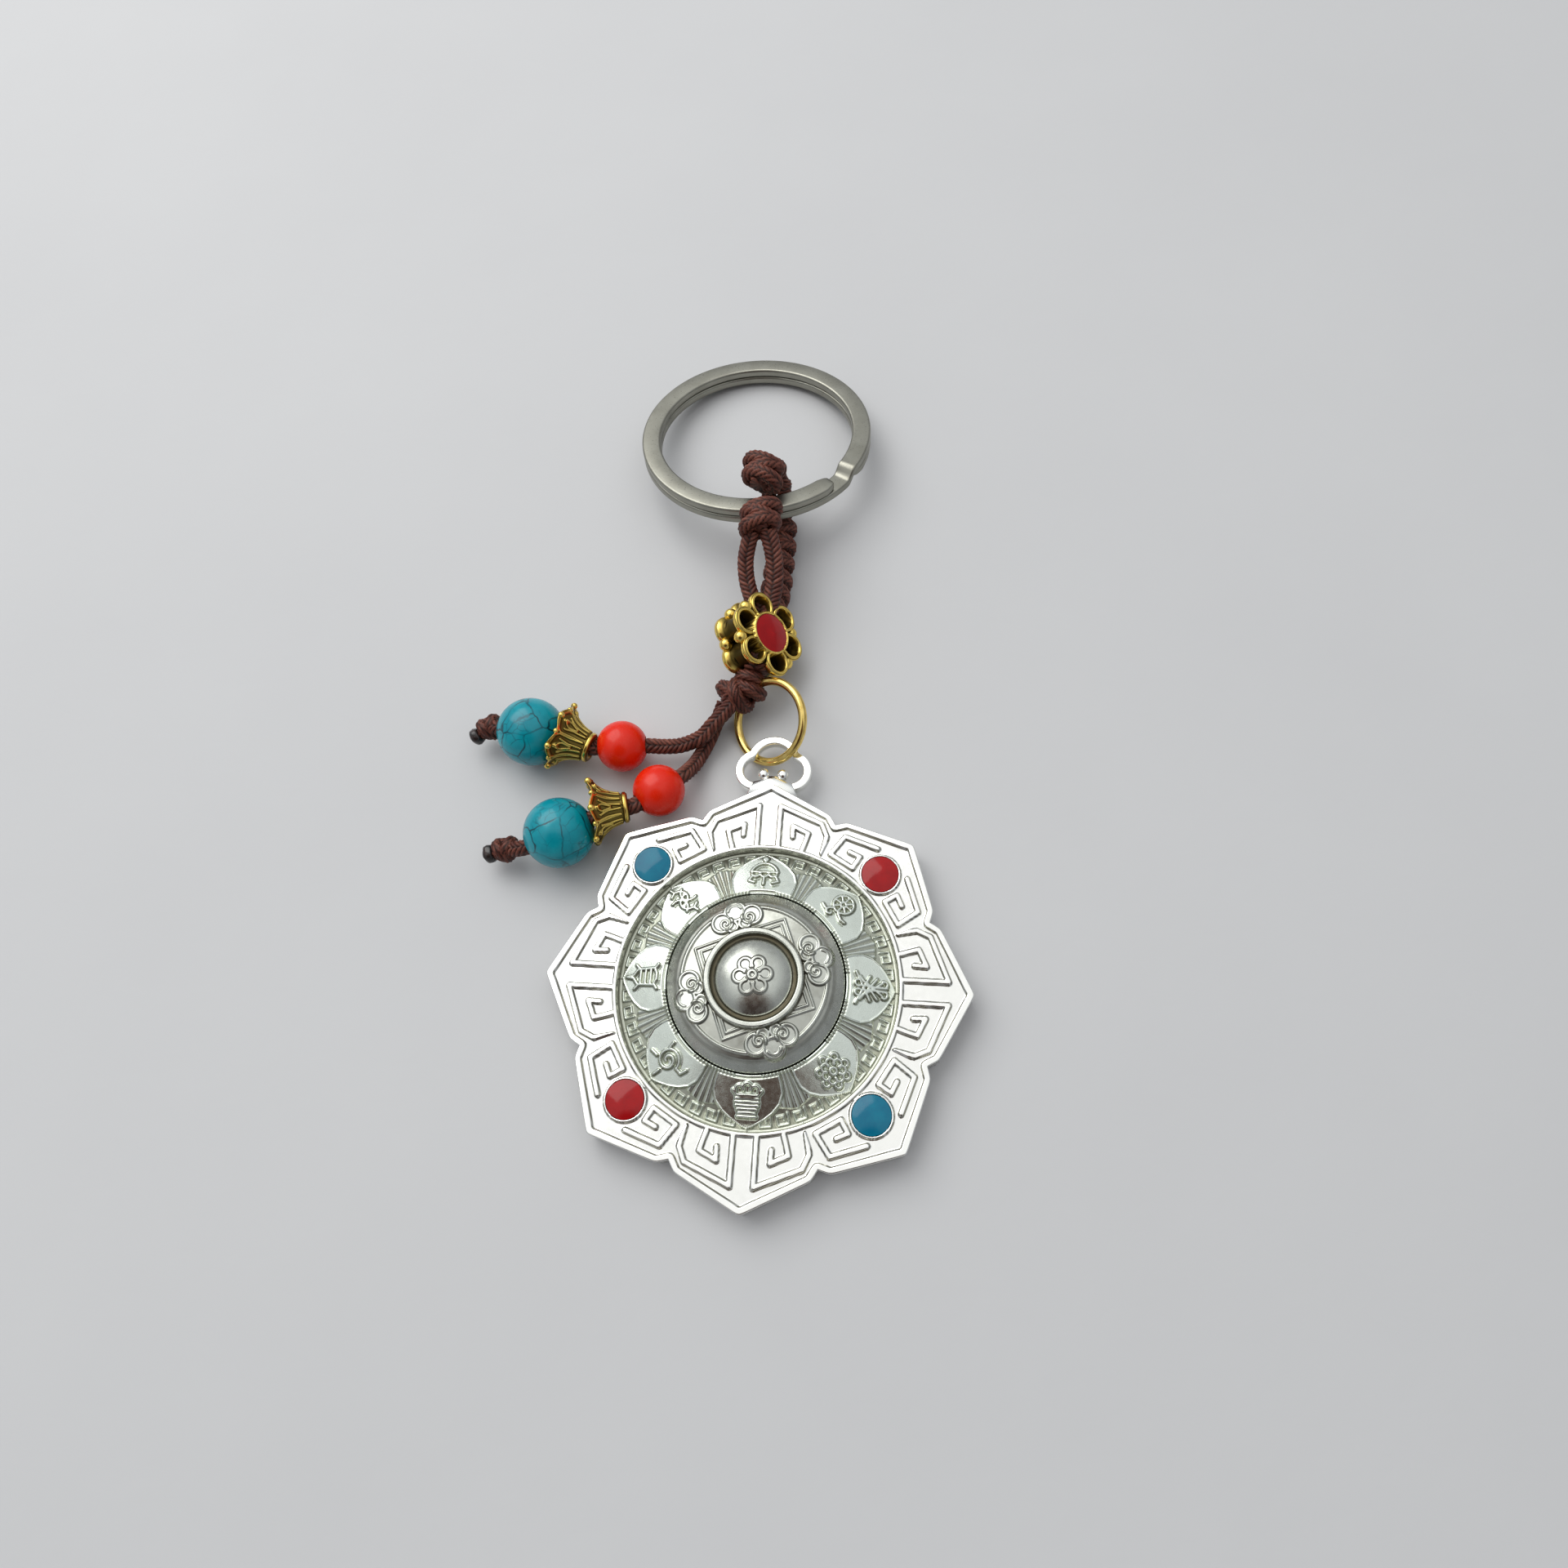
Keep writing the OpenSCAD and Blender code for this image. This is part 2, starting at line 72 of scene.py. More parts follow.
UPPER_ROUTE = [(-5, 33.1, 4.2), (-6.3, 31.5, 3.8), (-7.5, 30.1, 3.5), (-8.8, 28.7, 3), (-11.1, 27.8, 2.5),
               (-13.3, 27.5, 2.6), (-15, 27.3, 3.1), (-18, 27, 3.4), (-20.9, 26.6, 3.7), (-21.4, 26.5, 3.8),
               (-23.2, 27.1, 4.2), (-24.8, 27.6, 4.5), (-28.8, 28, 4.5), (-32.5, 28.4, 4.4),
               (-34.2, 28.8, 3.4)]
LOWER_ROUTE = [(-6.6, 33.6, 2.3), (-7, 32.6, 1.8), (-7.5, 31.3, 1.3), (-8.3, 28.9, 1), (-9.4, 26, 1.5),
               (-10.2, 24.4, 2.4), (-10.8, 23.5, 3), (-13, 21.6, 3.4), (-15.2, 19.7, 3.8), (-16.2, 19.2, 3.9),
               (-18.2, 18.4, 4.4), (-20.1, 17.3, 4.7), (-23.6, 15.6, 4.5), (-27.1, 13.9, 4.2),
               (-29.9, 13.8, 3)]
LEFT_STRAND = [(-3.5, 44.2, 5.6), (-3.9, 46, 5.9), (-4.6, 48.2, 6.5), (-4.8, 50.6, 7.6), (-4.2, 53.3, 9.1)]
RIGHT_STRAND = [(-1.6, 44.2, 5.8), (-1.4, 46, 6.1), (-1.2, 48.2, 6.8), (-1.4, 50.8, 7.9), (-2.2, 53.4, 9.2)]
SINNET = [(-1.9, 44.6, 4.3), (-1.6, 46.8, 3.4), (-1.4, 50, 2.4), (-1.3, 54, 2.1), (-1.3, 58, 2.15),
          (-1.7, 61.4, 2.8)]
FOLD = [(-1.7, 61.4, 2.8), (-2.3, 63.2, 4.2), (-2.9, 64.1, 6.2), (-3.3, 63.9, 8.2), (-3.4, 62.6, 9.5)]

# ---------------------------------------------------------------- mesh building


def smooth_line(points, steps):
    """A Catmull-Rom line through the points, with steps between neighbours, as in the CAD."""
    p = np.array(points, float)
    n, out = len(p), []
    for i in range(n - 1):
        a, b, c, d = p[max(i - 1, 0)], p[i], p[i + 1], p[min(i + 2, n - 1)]
        for s in range(steps):
            t = s / steps
            out.append(0.5 * (2 * b + (c - a) * t + (2 * a - 5 * b + 4 * c - d) * t * t
                              + (3 * b - a - 3 * c + d) * t ** 3))
    out.append(p[-1])
    return np.array(out)


def respace(line, step):
    """The same line with points a step apart."""
    seg = np.linalg.norm(np.diff(line, axis=0), axis=1)
    s = np.concatenate([[0], np.cumsum(seg)])
    n = max(2, int(round(s[-1] / step)) + 1)
    t = np.linspace(0, s[-1], n)
    return np.stack([np.interp(t, s, line[:, k]) for k in range(3)], 1), s[-1]


def step_up(low, high, x):
    """0 below low, 1 above high, a smooth step between."""
    t = np.clip((x - low) / (high - low), 0, 1)
    return t * t * (3 - 2 * t)


def line_distance(x, y, lines):
    """Distance from each (x, y) to the nearest of the polylines."""
    best = np.full(x.shape, 1e9)
    for line in lines:
        for (ax, ay), (bx, by) in zip(line[:-1], line[1:]):
            dx, dy = bx - ax, by - ay
            t = np.clip(((x - ax) * dx + (y - ay) * dy) / max(dx * dx + dy * dy, 1e-12), 0, 1)
            best = np.minimum(best, np.hypot(x - ax - t * dx, y - ay - t * dy))
    return best


def bar(distance, width, soft=0.12):
    """1 on a raised bar of that width, falling to 0 beside it."""
    return 1 - step_up(width / 2 - soft / 2, width / 2 + soft / 2, distance)


def arc(cx, cy, r, a0, a1, n=12):
    """Points on an arc, angles in degrees from +x."""
    return [(cx + r * math.cos(a), cy + r * math.sin(a)) for a in map(math.radians, np.linspace(a0, a1, n))]


def curl(cx, cy, r0, r1, a0, a1, n=22):
    """Points on a spiral from radius r0 to r1."""
    return [(cx + r * math.cos(a), cy + r * math.sin(a))
            for r, a in zip(np.linspace(r0, r1, n), np.radians(np.linspace(a0, a1, n)))]


class Shape:
    """Collects grids of points, in mm, into one mesh."""

    def __init__(self):
        self.v, self.quads, self.tris, self.cavity, self.fleck, self.n = [], [], [], [], [], 0

    def add(self, p, closed=False, caps=(False, False), cavity=None, fleck=None):
        """p is rows by columns by 3. The last column joins the first, and if closed the last row too."""
        rows, cols = p.shape[:2]
        ids = np.arange(rows * cols).reshape(rows, cols)
        a, b = (ids, np.roll(ids, -1, 0)) if closed else (ids[:-1], ids[1:])
        an, bn = np.roll(a, -1, 1), np.roll(b, -1, 1)
        quads = np.stack([a, an, bn, b], -1).reshape(-1, 4)
        v, tris = p.reshape(-1, 3), np.zeros((0, 3), int)
        c = np.zeros(len(v)) if cavity is None else np.broadcast_to(cavity, (rows, cols)).reshape(-1)
        f = np.zeros(len(v)) if fleck is None else np.broadcast_to(fleck, (rows, cols)).reshape(-1)
        for cap, row, flip in ((caps[0], 0, True), (caps[1], rows - 1, False)):
            if cap:
                middle, ring = len(v), ids[row]
                v = np.vstack([v, p[row].mean(0)])
                c, f = np.append(c, c[ring].mean()), np.append(f, f[ring].mean())
                nxt = np.roll(ring, -1)
                fan = np.stack([nxt, ring, np.full(cols,
                                                   middle)] if flip else [ring, nxt, np.full(cols, middle)],
                               1)
                tris = np.vstack([tris, fan])
        both = np.vstack([quads[:, [0, 1, 2]], quads[:, [0, 2, 3]], tris])
        t = v[both]
        if np.einsum("ij,ij->", np.cross(t[:, 0], t[:, 1]), t[:, 2]) < 0:
            quads, tris = quads[:, ::-1], tris[:, ::-1]
        self.v.append(v)
        self.quads.append(quads + self.n)
        self.tris.append(tris + self.n)
        self.cavity.append(c)
        self.fleck.append(f)
        self.n += len(v)
        return self

    def piece(self, name, material, body, slot, replaces=(), matrix=None):
        v = np.vstack(self.v)
        if matrix is not None:
            v = v @ np.array(matrix.to_3x3()).T + np.array(matrix.translation)
        quads, tris = np.vstack(self.quads), np.vstack(self.tris)
        mesh = bpy.data.meshes.new(name)
        mesh.vertices.add(len(v))
        mesh.vertices.foreach_set("co", (v * MM).astype(np.float32).ravel())
        loops = np.concatenate([quads.ravel(), tris.ravel()]).astype(np.int32)
        mesh.loops.add(len(loops))
        mesh.loops.foreach_set("vertex_index", loops)
        sizes = np.concatenate([np.full(len(quads), 4), np.full(len(tris), 3)])
        mesh.polygons.add(len(sizes))
        mesh.polygons.foreach_set("loop_start", np.concatenate([[0], np.cumsum(sizes)[:-1]]).astype(np.int32))
        mesh.polygons.foreach_set("use_smooth", np.ones(len(sizes), bool))
        mesh.update(calc_edges=True)
        # each point's painted shade, and a random number per stitch, are stored as attributes for the
        # materials
        for key, values in (("cavity", self.cavity), ("fleck", self.fleck)):
            layer = mesh.attributes.new(key, "FLOAT", "POINT")
            layer.data.foreach_set("value", np.concatenate(values).astype(np.float32))
        mesh.validate()
        mesh.materials.append(material)
        obj = bpy.data.objects.new(name, mesh)
        scene.collection.objects.link(obj)
        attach(obj, body)
        if replaces:
            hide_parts(*replaces)
        return obj


class Lathe:
    """Rows of radius, height and painted shade round the wheel's axis, the angle clockwise from +y."""

    def __init__(self, columns):
        self.angle = np.linspace(0, 2 * math.pi, columns, endpoint=False)
        self.rows = []

    def row(self, r, z, dark):
        self.rows.append([np.broadcast_to(np.asarray(v, float), self.angle.shape) for v in (r, z, dark)])

    def shape(self, **ends):
        r, z, dark = np.array(self.rows).transpose(1, 0, 2)
        p = np.stack([r * np.sin(self.angle), r * np.cos(self.angle), z], -1)
        return Shape().add(p, cavity=dark, **ends)


def ball(shape, at, r, squash=1.0, n=16):
    """A closed ball; squash flattens it along z, n is its number of columns."""
    lat = np.linspace(-math.pi / 2, math.pi / 2, n // 2 + 1)[1:-1]
    lon = np.linspace(0, 2 * math.pi, n, endpoint=False)
    p = np.zeros((len(lat), n, 3))
    p[..., 0] = at[0] + r * np.outer(np.cos(lat), np.cos(lon))
    p[..., 1] = at[1] + r * np.outer(np.cos(lat), np.sin(lon))
    p[..., 2] = at[2] + r * squash * np.outer(np.sin(lat), np.ones(n))
    ends = [np.tile([[at[0], at[1], at[2] + s * r * squash]], (1, 1)) for s in (-1, 1)]
    top = np.repeat(ends[1][None], n, 1) + (p[-1:] - ends[1]) * 0.02
    low = np.repeat(ends[0][None], n, 1) + (p[:1] - ends[0]) * 0.02
    return shape.add(np.vstack([low, p, top]), caps=(True, True))


def frames_along(line, closed=False, start=(0, 0, 1)):
    """Across and up directions along a line, carried on without twist."""
    nxt, prev = np.roll(line, -1, 0), np.roll(line, 1, 0)
    if not closed:
        nxt[-1], prev[0] = line[-1], line[0]
    tangent = nxt - prev
    tangent /= np.linalg.norm(tangent, axis=1)[:, None]
    up = np.array(start, float)
    ups = []
    for t in tangent:
        up = up - t * (up @ t)
        up /= np.linalg.norm(up)
        ups.append(up)
    ups = np.array(ups)
    return np.cross(tangent, ups), ups, tangent


def stitch_pattern(u, s, cols, pitch):
    """Height 0 to 1 of a braid's stitches, and a number for each: u is 0 to 1 round, s in mm along."""
    col = np.floor(u * cols)
    part = u * cols - col
    lean = np.where(col % 2 == 0, 1.0, -1.0)
    phase = s / pitch + lean * (part - 0.5) * 1.9 + 0.25 * (col % 2)
    cell = np.floor(phase)
    across = np.abs(np.sin(math.pi * np.clip(part, 0.02, 0.98))) ** 0.3
    bump = np.sqrt(np.abs(np.sin(math.pi * (phase - cell)))) * across
    seed = np.sin(col * 12.9898 + cell * 78.233) * 43758.5453
    return bump, seed - np.floor(seed)


def braid(shape, points, d, cols=4, pitch=0.62, closed=False, depth=0.34, start=(0, 0, 1), flat=1.0,
          around=48,
          step=0.08):
    """A braided cord along the points; flat squeezes it along its up direction."""
    line, length = respace(np.array(points, float), step)
    if closed:
        line = line[:-1]
        pitch = length / max(1, round(length / pitch))
    across, up, _ = frames_along(line, closed, start)
    u = np.linspace(0, 1, around, endpoint=False)
    s = np.arange(len(line)) * (length / (len(line) if closed else len(line) - 1))
    uu, ss = np.meshgrid(u, s)
    bump, seed = stitch_pattern(uu, ss, cols, pitch)
    r = d / 2 * (1 + depth * (bump - 0.72))
    a = uu * 2 * math.pi
    p = (line[:, None] + across[:, None] * (r * np.cos(a))[..., None]
         + up[:, None] * (r * flat * np.sin(a))[..., None])
    # the crevices between stitches carry painted shade
    return shape.add(p, closed=closed, caps=(not closed, not closed), cavity=1 - bump, fleck=seed)


def loop_path(at, normal, along, rx, ry, n=60):
    """An ellipse round at, square to normal, its rx axis as near along as it can be."""
    nrm = np.array(normal, float) / np.linalg.norm(normal)
    x = np.array(along, float) - nrm * np.dot(along, nrm)
    x /= np.linalg.norm(x)
    y = np.cross(nrm, x)
    a = np.radians(np.linspace(0, 360, n))
    return np.array(at) + np.outer(np.cos(a), x) * rx + np.outer(np.sin(a), y) * ry


# ---------------------------------------------------------------- materials


class Look:
    """A small helper that builds one procedural material."""

    def __init__(self, name, color, metallic=0.0, roughness=0.5, **sockets):
        self.m = bpy.data.materials.new(name)
        self.m.use_nodes = True
        self.t = self.m.node_tree
        self.shader = self.t.nodes["Principled BSDF"]
        self.set("Base Color", (*color, 1))
        self.set("Metallic", metallic)
        self.set("Roughness", roughness)
        for key, value in sockets.items():
            self.set(key.replace("_", " "), value)
        self.place = self.node("ShaderNodeTexCoord").outputs["Object"]

    def set(self, key, value):
        self.shader.inputs[key].default_value = value

    def node(self, kind, **values):
        n = self.t.nodes.new(kind)
        for key, value in values.items():
            if hasattr(n, key):
                setattr(n, key, value)
            else:
                n.inputs[key.replace("_", " ")].default_value = value
        return n

    def link(self, a, b):
        self.t.links.new(a, b)

    def attribute(self, name):
        return self.node("ShaderNodeAttribute", attribute_name=name).outputs["Fac"]

    def noise(self, size_mm, detail=3.0, roughness=0.5, stretch=None):
        n = self.node("ShaderNodeTexNoise", Scale=1 / (size_mm * MM), Detail=detail, Roughness=roughness)
        where = self.place
        if stretch:
            mapping = self.node("ShaderNodeMapping")
            mapping.inputs["Scale"].default_value = stretch
            self.link(where, mapping.inputs["Vector"])
            where = mapping.outputs["Vector"]
        self.link(where, n.inputs["Vector"])
        return n.outputs["Fac"]

    def ramp(self, fac, stops):
        n = self.node("ShaderNodeValToRGB")
        while len(n.color_ramp.elements) < len(stops):
            n.color_ramp.elements.new(0.5)
        for e, (at, color) in zip(n.color_ramp.elements, stops):
            e.position = at
            e.color = (*color, 1) if len(color) == 3 else color
        self.link(fac, n.inputs["Fac"])
        return n.outputs["Color"]

    def grade(self, fac, low, high, to_low, to_high):
        n = self.node("ShaderNodeMapRange")
        for key, value in (("From Min", low), ("From Max", high), ("To Min", to_low), ("To Max", to_high)):
            n.inputs[key].default_value = value
        self.link(fac, n.inputs["Value"])
        return n.outputs["Result"]

    def mix(self, fac, a, b, mode="MIX"):
        n = self.node("ShaderNodeMix", data_type="RGBA", blend_type=mode)
        for socket, value in ((n.inputs[0], fac), (n.inputs[6], a), (n.inputs[7], b)):
            if isinstance(value, (int, float)):
                socket.default_value = value
            elif isinstance(value, tuple):
                socket.default_value = (*value, 1)
            else:
                self.link(value, socket)
        return n.outputs[2]

    def math(self, kind, a, b):
        n = self.node("ShaderNodeMath", operation=kind)
        for socket, value in ((n.inputs[0], a), (n.inputs[1], b)):
            if isinstance(value, (int, float)):
                socket.default_value = value
            else:
                self.link(value, socket)
        return n.outputs[0]

    def bump(self, height, distance_mm, strength=1.0):
        n = self.node("ShaderNodeBump", Strength=strength, Distance=distance_mm * MM)
        self.link(height, n.inputs["Height"])
        self.link(n.outputs["Normal"], self.shader.inputs["Normal"])

    def color(self, out):
        self.link(out, self.shader.inputs["Base Color"])

    def rough(self, out):
        self.link(out, self.shader.inputs["Roughness"])


def metal(name, bright, recess, rough, rough_recess, grain_mm=0.35, grain=0.006, patina=0.25):
    """A cast and plated metal, darkened by painted shade on its walls, in its grooves and in its recesses,
    with blotches of patina.
    """
    k = Look(name, bright, 1.0, rough)
    shade_mask, blot = k.attribute("cavity"), k.noise(1.6, 4, 0.6)
    # painted shade from the mesh, plus random patina blotches, darkens the colour toward the recess colour
    shade_and_patina = k.math("ADD", shade_mask, k.grade(blot, 0.45, 0.8, 0.0, patina))
    k.color(k.mix(k.math("MINIMUM", shade_and_patina, 1.0), bright, recess))
    k.rough(k.math("ADD", k.grade(shade_mask, 0, 1, rough, rough_recess), k.grade(k.noise(0.5, 3), 0.3, 0.7, -0.04,
                                                                           0.06)))
    k.bump(k.noise(grain_mm, 4, 0.6), grain)
    return k.m


SILVER = metal("silver_bright", (0.96, 0.965, 0.93), (0.13, 0.12, 0.06), 0.16, 0.4, 0.5, 0.004, 0.05)
ANTIQUE = metal("silver_antique", (0.8, 0.86, 0.78), (0.2, 0.19, 0.11), 0.24, 0.45, 0.14, 0.009, 0.16)
HUB = metal("silver_hub", (0.56, 0.58, 0.53), (0.1, 0.09, 0.06), 0.26, 0.45, 0.2, 0.006, 0.3)
GOLD_OLD = metal("gold_antique", (0.86, 0.62, 0.15), (0.014, 0.009, 0.004), 0.2, 0.5, 0.3, 0.006, 0.06)


def enamel(name, color, deep):
    k = Look(name, color, 0.0, 0.12, Specular_IOR_Level=0.3)
    k.color(k.mix(k.grade(k.noise(1.3, 3), 0.35, 0.7, 0, 1), color, deep))
    k.bump(k.noise(1.1, 2), 0.012)
    return k.m


TEAL = enamel("enamel_teal", (0.001, 0.14, 0.24), (0.002, 0.18, 0.28))
RED = enamel("enamel_red", (0.38, 0.004, 0.006), (0.3, 0.003, 0.005))

k = Look("steel_plain", (0.6, 0.6, 0.58), 1.0, 0.35)
k.rough(k.grade(k.noise(0.3, 4, stretch=(1, 6, 1)), 0.3, 0.7, 0.26, 0.45))
k.bump(k.noise(0.12, 3, stretch=(1, 8, 1)), 0.003)
STEEL = k.m

k = Look("gold_wire", (0.86, 0.63, 0.2), 1.0, 0.16)
k.color(k.mix(k.grade(k.noise(0.9, 3), 0.4, 0.8, 0, 1), (0.88, 0.66, 0.22), (0.66, 0.44, 0.11)))
k.rough(k.grade(k.noise(0.4, 4), 0.3, 0.7, 0.11, 0.24))
k.bump(k.noise(0.2, 3), 0.003)
GOLD_WIRE = k.m

k = Look("nickel", (0.3, 0.295, 0.25), 1.0, 0.33)
k.color(k.mix(k.grade(k.noise(2.5, 3), 0.35, 0.75, 0, 1), (0.33, 0.325, 0.28), (0.27, 0.265, 0.225)))
k.rough(k.grade(k.noise(0.25, 4, stretch=(1, 1, 6)), 0.3, 0.7, 0.26, 0.42))
k.bump(k.noise(0.1, 3, stretch=(1, 1, 8)), 0.002)
NICKEL = k.m

k = Look("cord_brown", (0.13, 0.042, 0.03), 0.0, 0.4, Specular_IOR_Level=0.22)
shade_mask = k.attribute("cavity")
tone = k.mix(k.grade(k.attribute("fleck"), 0.0, 1.0, 0.0, 1.0), (0.095, 0.025, 0.017), (0.24, 0.08, 0.053))
tone = k.mix(k.grade(k.noise(0.18, 3, 0.6), 0.4, 0.75, 0, 0.5), tone, (0.05, 0.016, 0.012))
# painted shade: the crevices between stitches go nearly black
k.color(k.mix(k.grade(shade_mask, 0.2, 0.75, 0, 1), tone, (0.008, 0.003, 0.002)))
k.bump(k.noise(0.07, 3, 0.7), 0.03, 0.7)
CORD = k.m

k = Look("cord_melted", (0.012, 0.01, 0.01), 0.0, 0.22, Coat_Weight=0.3)
k.rough(k.grade(k.noise(0.5, 3), 0.3, 0.7, 0.14, 0.4))
k.color(k.mix(k.grade(k.noise(0.6, 3), 0.4, 0.75, 0, 1), (0.01, 0.008, 0.008), (0.035, 0.016, 0.013)))
k.bump(k.noise(0.45, 3), 0.06)
MELTED = k.m

k = Look("coral_red", (0.86, 0.05, 0.012), 0.0, 0.24, Subsurface_Weight=0.3, Subsurface_Scale=0.001,
         Specular_IOR_Level=0.35)
k.shader.inputs["Subsurface Radius"].default_value = (1.0, 0.25, 0.1)
k.color(k.mix(k.grade(k.noise(2.2, 3), 0.3, 0.75, 0, 1), (0.8, 0.022, 0.003), (0.72, 0.017, 0.003)))
k.rough(k.grade(k.noise(0.5, 4), 0.3, 0.7, 0.18, 0.32))
k.bump(k.noise(0.35, 3), 0.004)
CORAL = k.m

k = Look("turquoise", (0.0, 0.28, 0.34), 0.0, 0.2, Specular_IOR_Level=0.4)
wobble = k.node("ShaderNodeTexNoise", Scale=260.0, Detail=3.0)
k.link(k.place, wobble.inputs["Vector"])
warp = k.mix(0.0025, k.place, wobble.outputs["Color"], "ADD")
cells = k.node("ShaderNodeTexVoronoi", feature="DISTANCE_TO_EDGE", Scale=250.0)
k.link(warp, cells.inputs["Vector"])
fine = k.node("ShaderNodeTexVoronoi", feature="DISTANCE_TO_EDGE", Scale=520.0)
k.link(warp, fine.inputs["Vector"])
stone = k.mix(k.grade(k.noise(2.4, 4, 0.6), 0.3, 0.75, 0, 1), (0.001, 0.24, 0.31), (0.003, 0.34, 0.41))
veins = k.ramp(cells.outputs["Distance"], [(0.0, (1, 1, 1)), (0.012, (1, 1, 1)), (0.032, (0, 0, 0))])
hair = k.math("MULTIPLY", k.ramp(fine.outputs["Distance"], [(0.0, (1, 1, 1)), (0.03, (0, 0, 0))]),
              k.grade(k.noise(3.0, 2), 0.45, 0.6, 0, 0.6))
gone = k.grade(k.noise(1.8, 3), 0.35, 0.6, 0.25, 0.9)
k.color(k.mix(k.math("MAXIMUM", k.math("MULTIPLY", veins, gone), hair), stone, (0.003, 0.035, 0.05)))
k.rough(k.grade(k.noise(0.6, 4), 0.3, 0.7, 0.14, 0.27))
k.bump(k.noise(0.4, 3), 0.003)
TURQUOISE = k.m

k = Look("paper", (0.59, 0.597, 0.607), 0.0, 0.75)
k.color(k.mix(k.grade(k.noise(60, 4, 0.6), 0.3, 0.7, 0, 1), (0.6, 0.608, 0.617), (0.58, 0.587, 0.597)))
k.bump(k.noise(2.0, 4), 0.02)
PAPER = k.m

# ---------------------------------------------------------------- tails: the free cords

tails = {}
for side, route in (("upper", UPPER_ROUTE), ("lower", LOWER_ROUTE)):
    path = smooth_line(route, 6)
    length = float(np.linalg.norm(np.diff(path, axis=0), axis=1).sum())
    tail = braid(Shape(), path, CORD_D, start=(0.3, 0.2, 1)).piece(
        side + "_tail_braid", CORD, "strap", "cord_brown", [side + "_tail_cord"])
    tails[side] = (tail, path, length)

# ---------------------------------------------------------------- the lotus frame

LOBES = 8
STEP = 2 * math.pi / LOBES
TIP_R, WELL_R, FRAME_H = 23.0, 15.2, 3.3
FLOOR_DROP, BORDER_W = 0.36, 0.66
SHOULDER = (20.65 * math.sin(math.radians(19.6)), 20.65 * math.cos(math.radians(19.6)))
NOTCH = (19.8 * math.sin(STEP / 2), 19.8 * math.cos(STEP / 2))
DOT_AT, DOT_R = 18.0, 2.0


def ray_to_line(angle, p, q):
    """Distance from the axis to the line pq along a direction, angle clockwise from +y."""
    dx, dy = q[0] - p[0], q[1] - p[1]
    return (p[0] * dy - p[1] * dx) / (np.sin(angle) * dy - np.cos(angle) * dx)


def outline_r(angle):
    """The frame's outer radius at each angle clockwise from +y, its corners slightly rounded."""
    local = np.abs((angle + STEP / 2) % STEP - STEP / 2)
    local = np.sqrt(local ** 2 + 0.009 ** 2)
    slant = ray_to_line(local, (0, TIP_R + 0.1), SHOULDER)
    side = ray_to_line(local, SHOULDER, NOTCH)
    m = np.minimum(slant, side)
    return m - 0.05 * np.exp(-np.abs(slant - side) / 0.18) * 1.6


def lobe_place(angle, r):
    """Lobe-local x and y of each point, and the lobe's number."""
    lobe = np.round(angle / STEP)
    local = angle - lobe * STEP
    return r * np.sin(local), r * np.cos(local), lobe.astype(int) % LOBES


CARDINAL_BARS = [[(1.2, 15.2), (1.22, 20.35), (6.0, 18.35), (6.62, 16.9), (6.2, 14.9)],
                 [(3.95, 15.2), (4.55, 17.15), (2.75, 18.0), (2.8, 16.7)]]
DIAGONAL_BARS = [[(2.35, 19.85), (5.85, 18.15), (5.45, 15.55), (2.6, 16.25), (2.98, 17.75), (4.2, 17.3)]]


def frame_relief(angle, r):
    """Height and painted shade of the frame's front: border, key bars, and the collars of the enamel drops.
    """
    x, y, lobe = lobe_place(angle, r)
    s = np.abs(x)
    edge = line_distance(s, y, [[(0, TIP_R), SHOULDER, NOTCH, (NOTCH[0] + 0.5, NOTCH[1] + 0.9)]])
    raised = 1 - step_up(BORDER_W - 0.05, BORDER_W + 0.09, edge)
    raised = np.maximum(raised, 1 - step_up(WELL_R + 0.32, WELL_R + 0.46, r))
    odd = lobe % 2 == 1
    lines = np.where(odd, line_distance(s, y, DIAGONAL_BARS), line_distance(s, y, CARDINAL_BARS))
    raised = np.maximum(raised, bar(lines, 0.56, 0.16))
    dot = np.hypot(x, y - DOT_AT)
    collar = np.where(odd, bar(np.abs(dot - DOT_R - 0.14), 0.3, 0.12), 0)
    raised = np.maximum(raised, collar)
    z = FRAME_H - FLOOR_DROP * (1 - raised)
    z = np.where(odd, z - (z - 2.75) * (1 - step_up(DOT_R - 0.1, DOT_R + 0.02, dot)), z)
    # painted shade on the walls of every raised edge, and a little on the sunken floor
    wall = np.clip(4 * raised * (1 - raised), 0, 1)
    return z, np.clip(wall * 1.1 + 0.05 * (1 - raised), 0, 1)


lathe = Lathe(1120)
out_r = outline_r(lathe.angle)
for u in np.linspace(0, 1, 72):
    r = WELL_R + 0.04 + (out_r - 0.14 - WELL_R - 0.04) * u
    lathe.row(r, *frame_relief(lathe.angle, r))
# the frame's outer side, painted in shade between its rounded top and bottom edges
for inset, z in ((0.05, 3.27), (0.0, 3.16), (0.0, 2.9), (0.0, 0.35), (0.06, 0.1), (0.22, 0.0), (0.6, 0.0)):
    lathe.row(out_r - inset, z, 0.45 if 0.2 < z < 3.2 else 0.0)
# then its underside, the hole, and the inner wall of the well, which is painted in shade
for r, z in ((16, 0), (9, 0), (3.0, 0), (3.0, 0.7), (1.5, 0.7), (1.5, 1.5), (15.15, 1.5), (WELL_R, 1.55),
             (WELL_R, 3.2)):
    lathe.row(r, z, 0.5 if r == WELL_R else 0.0)
cast = lathe.shape(closed=True)

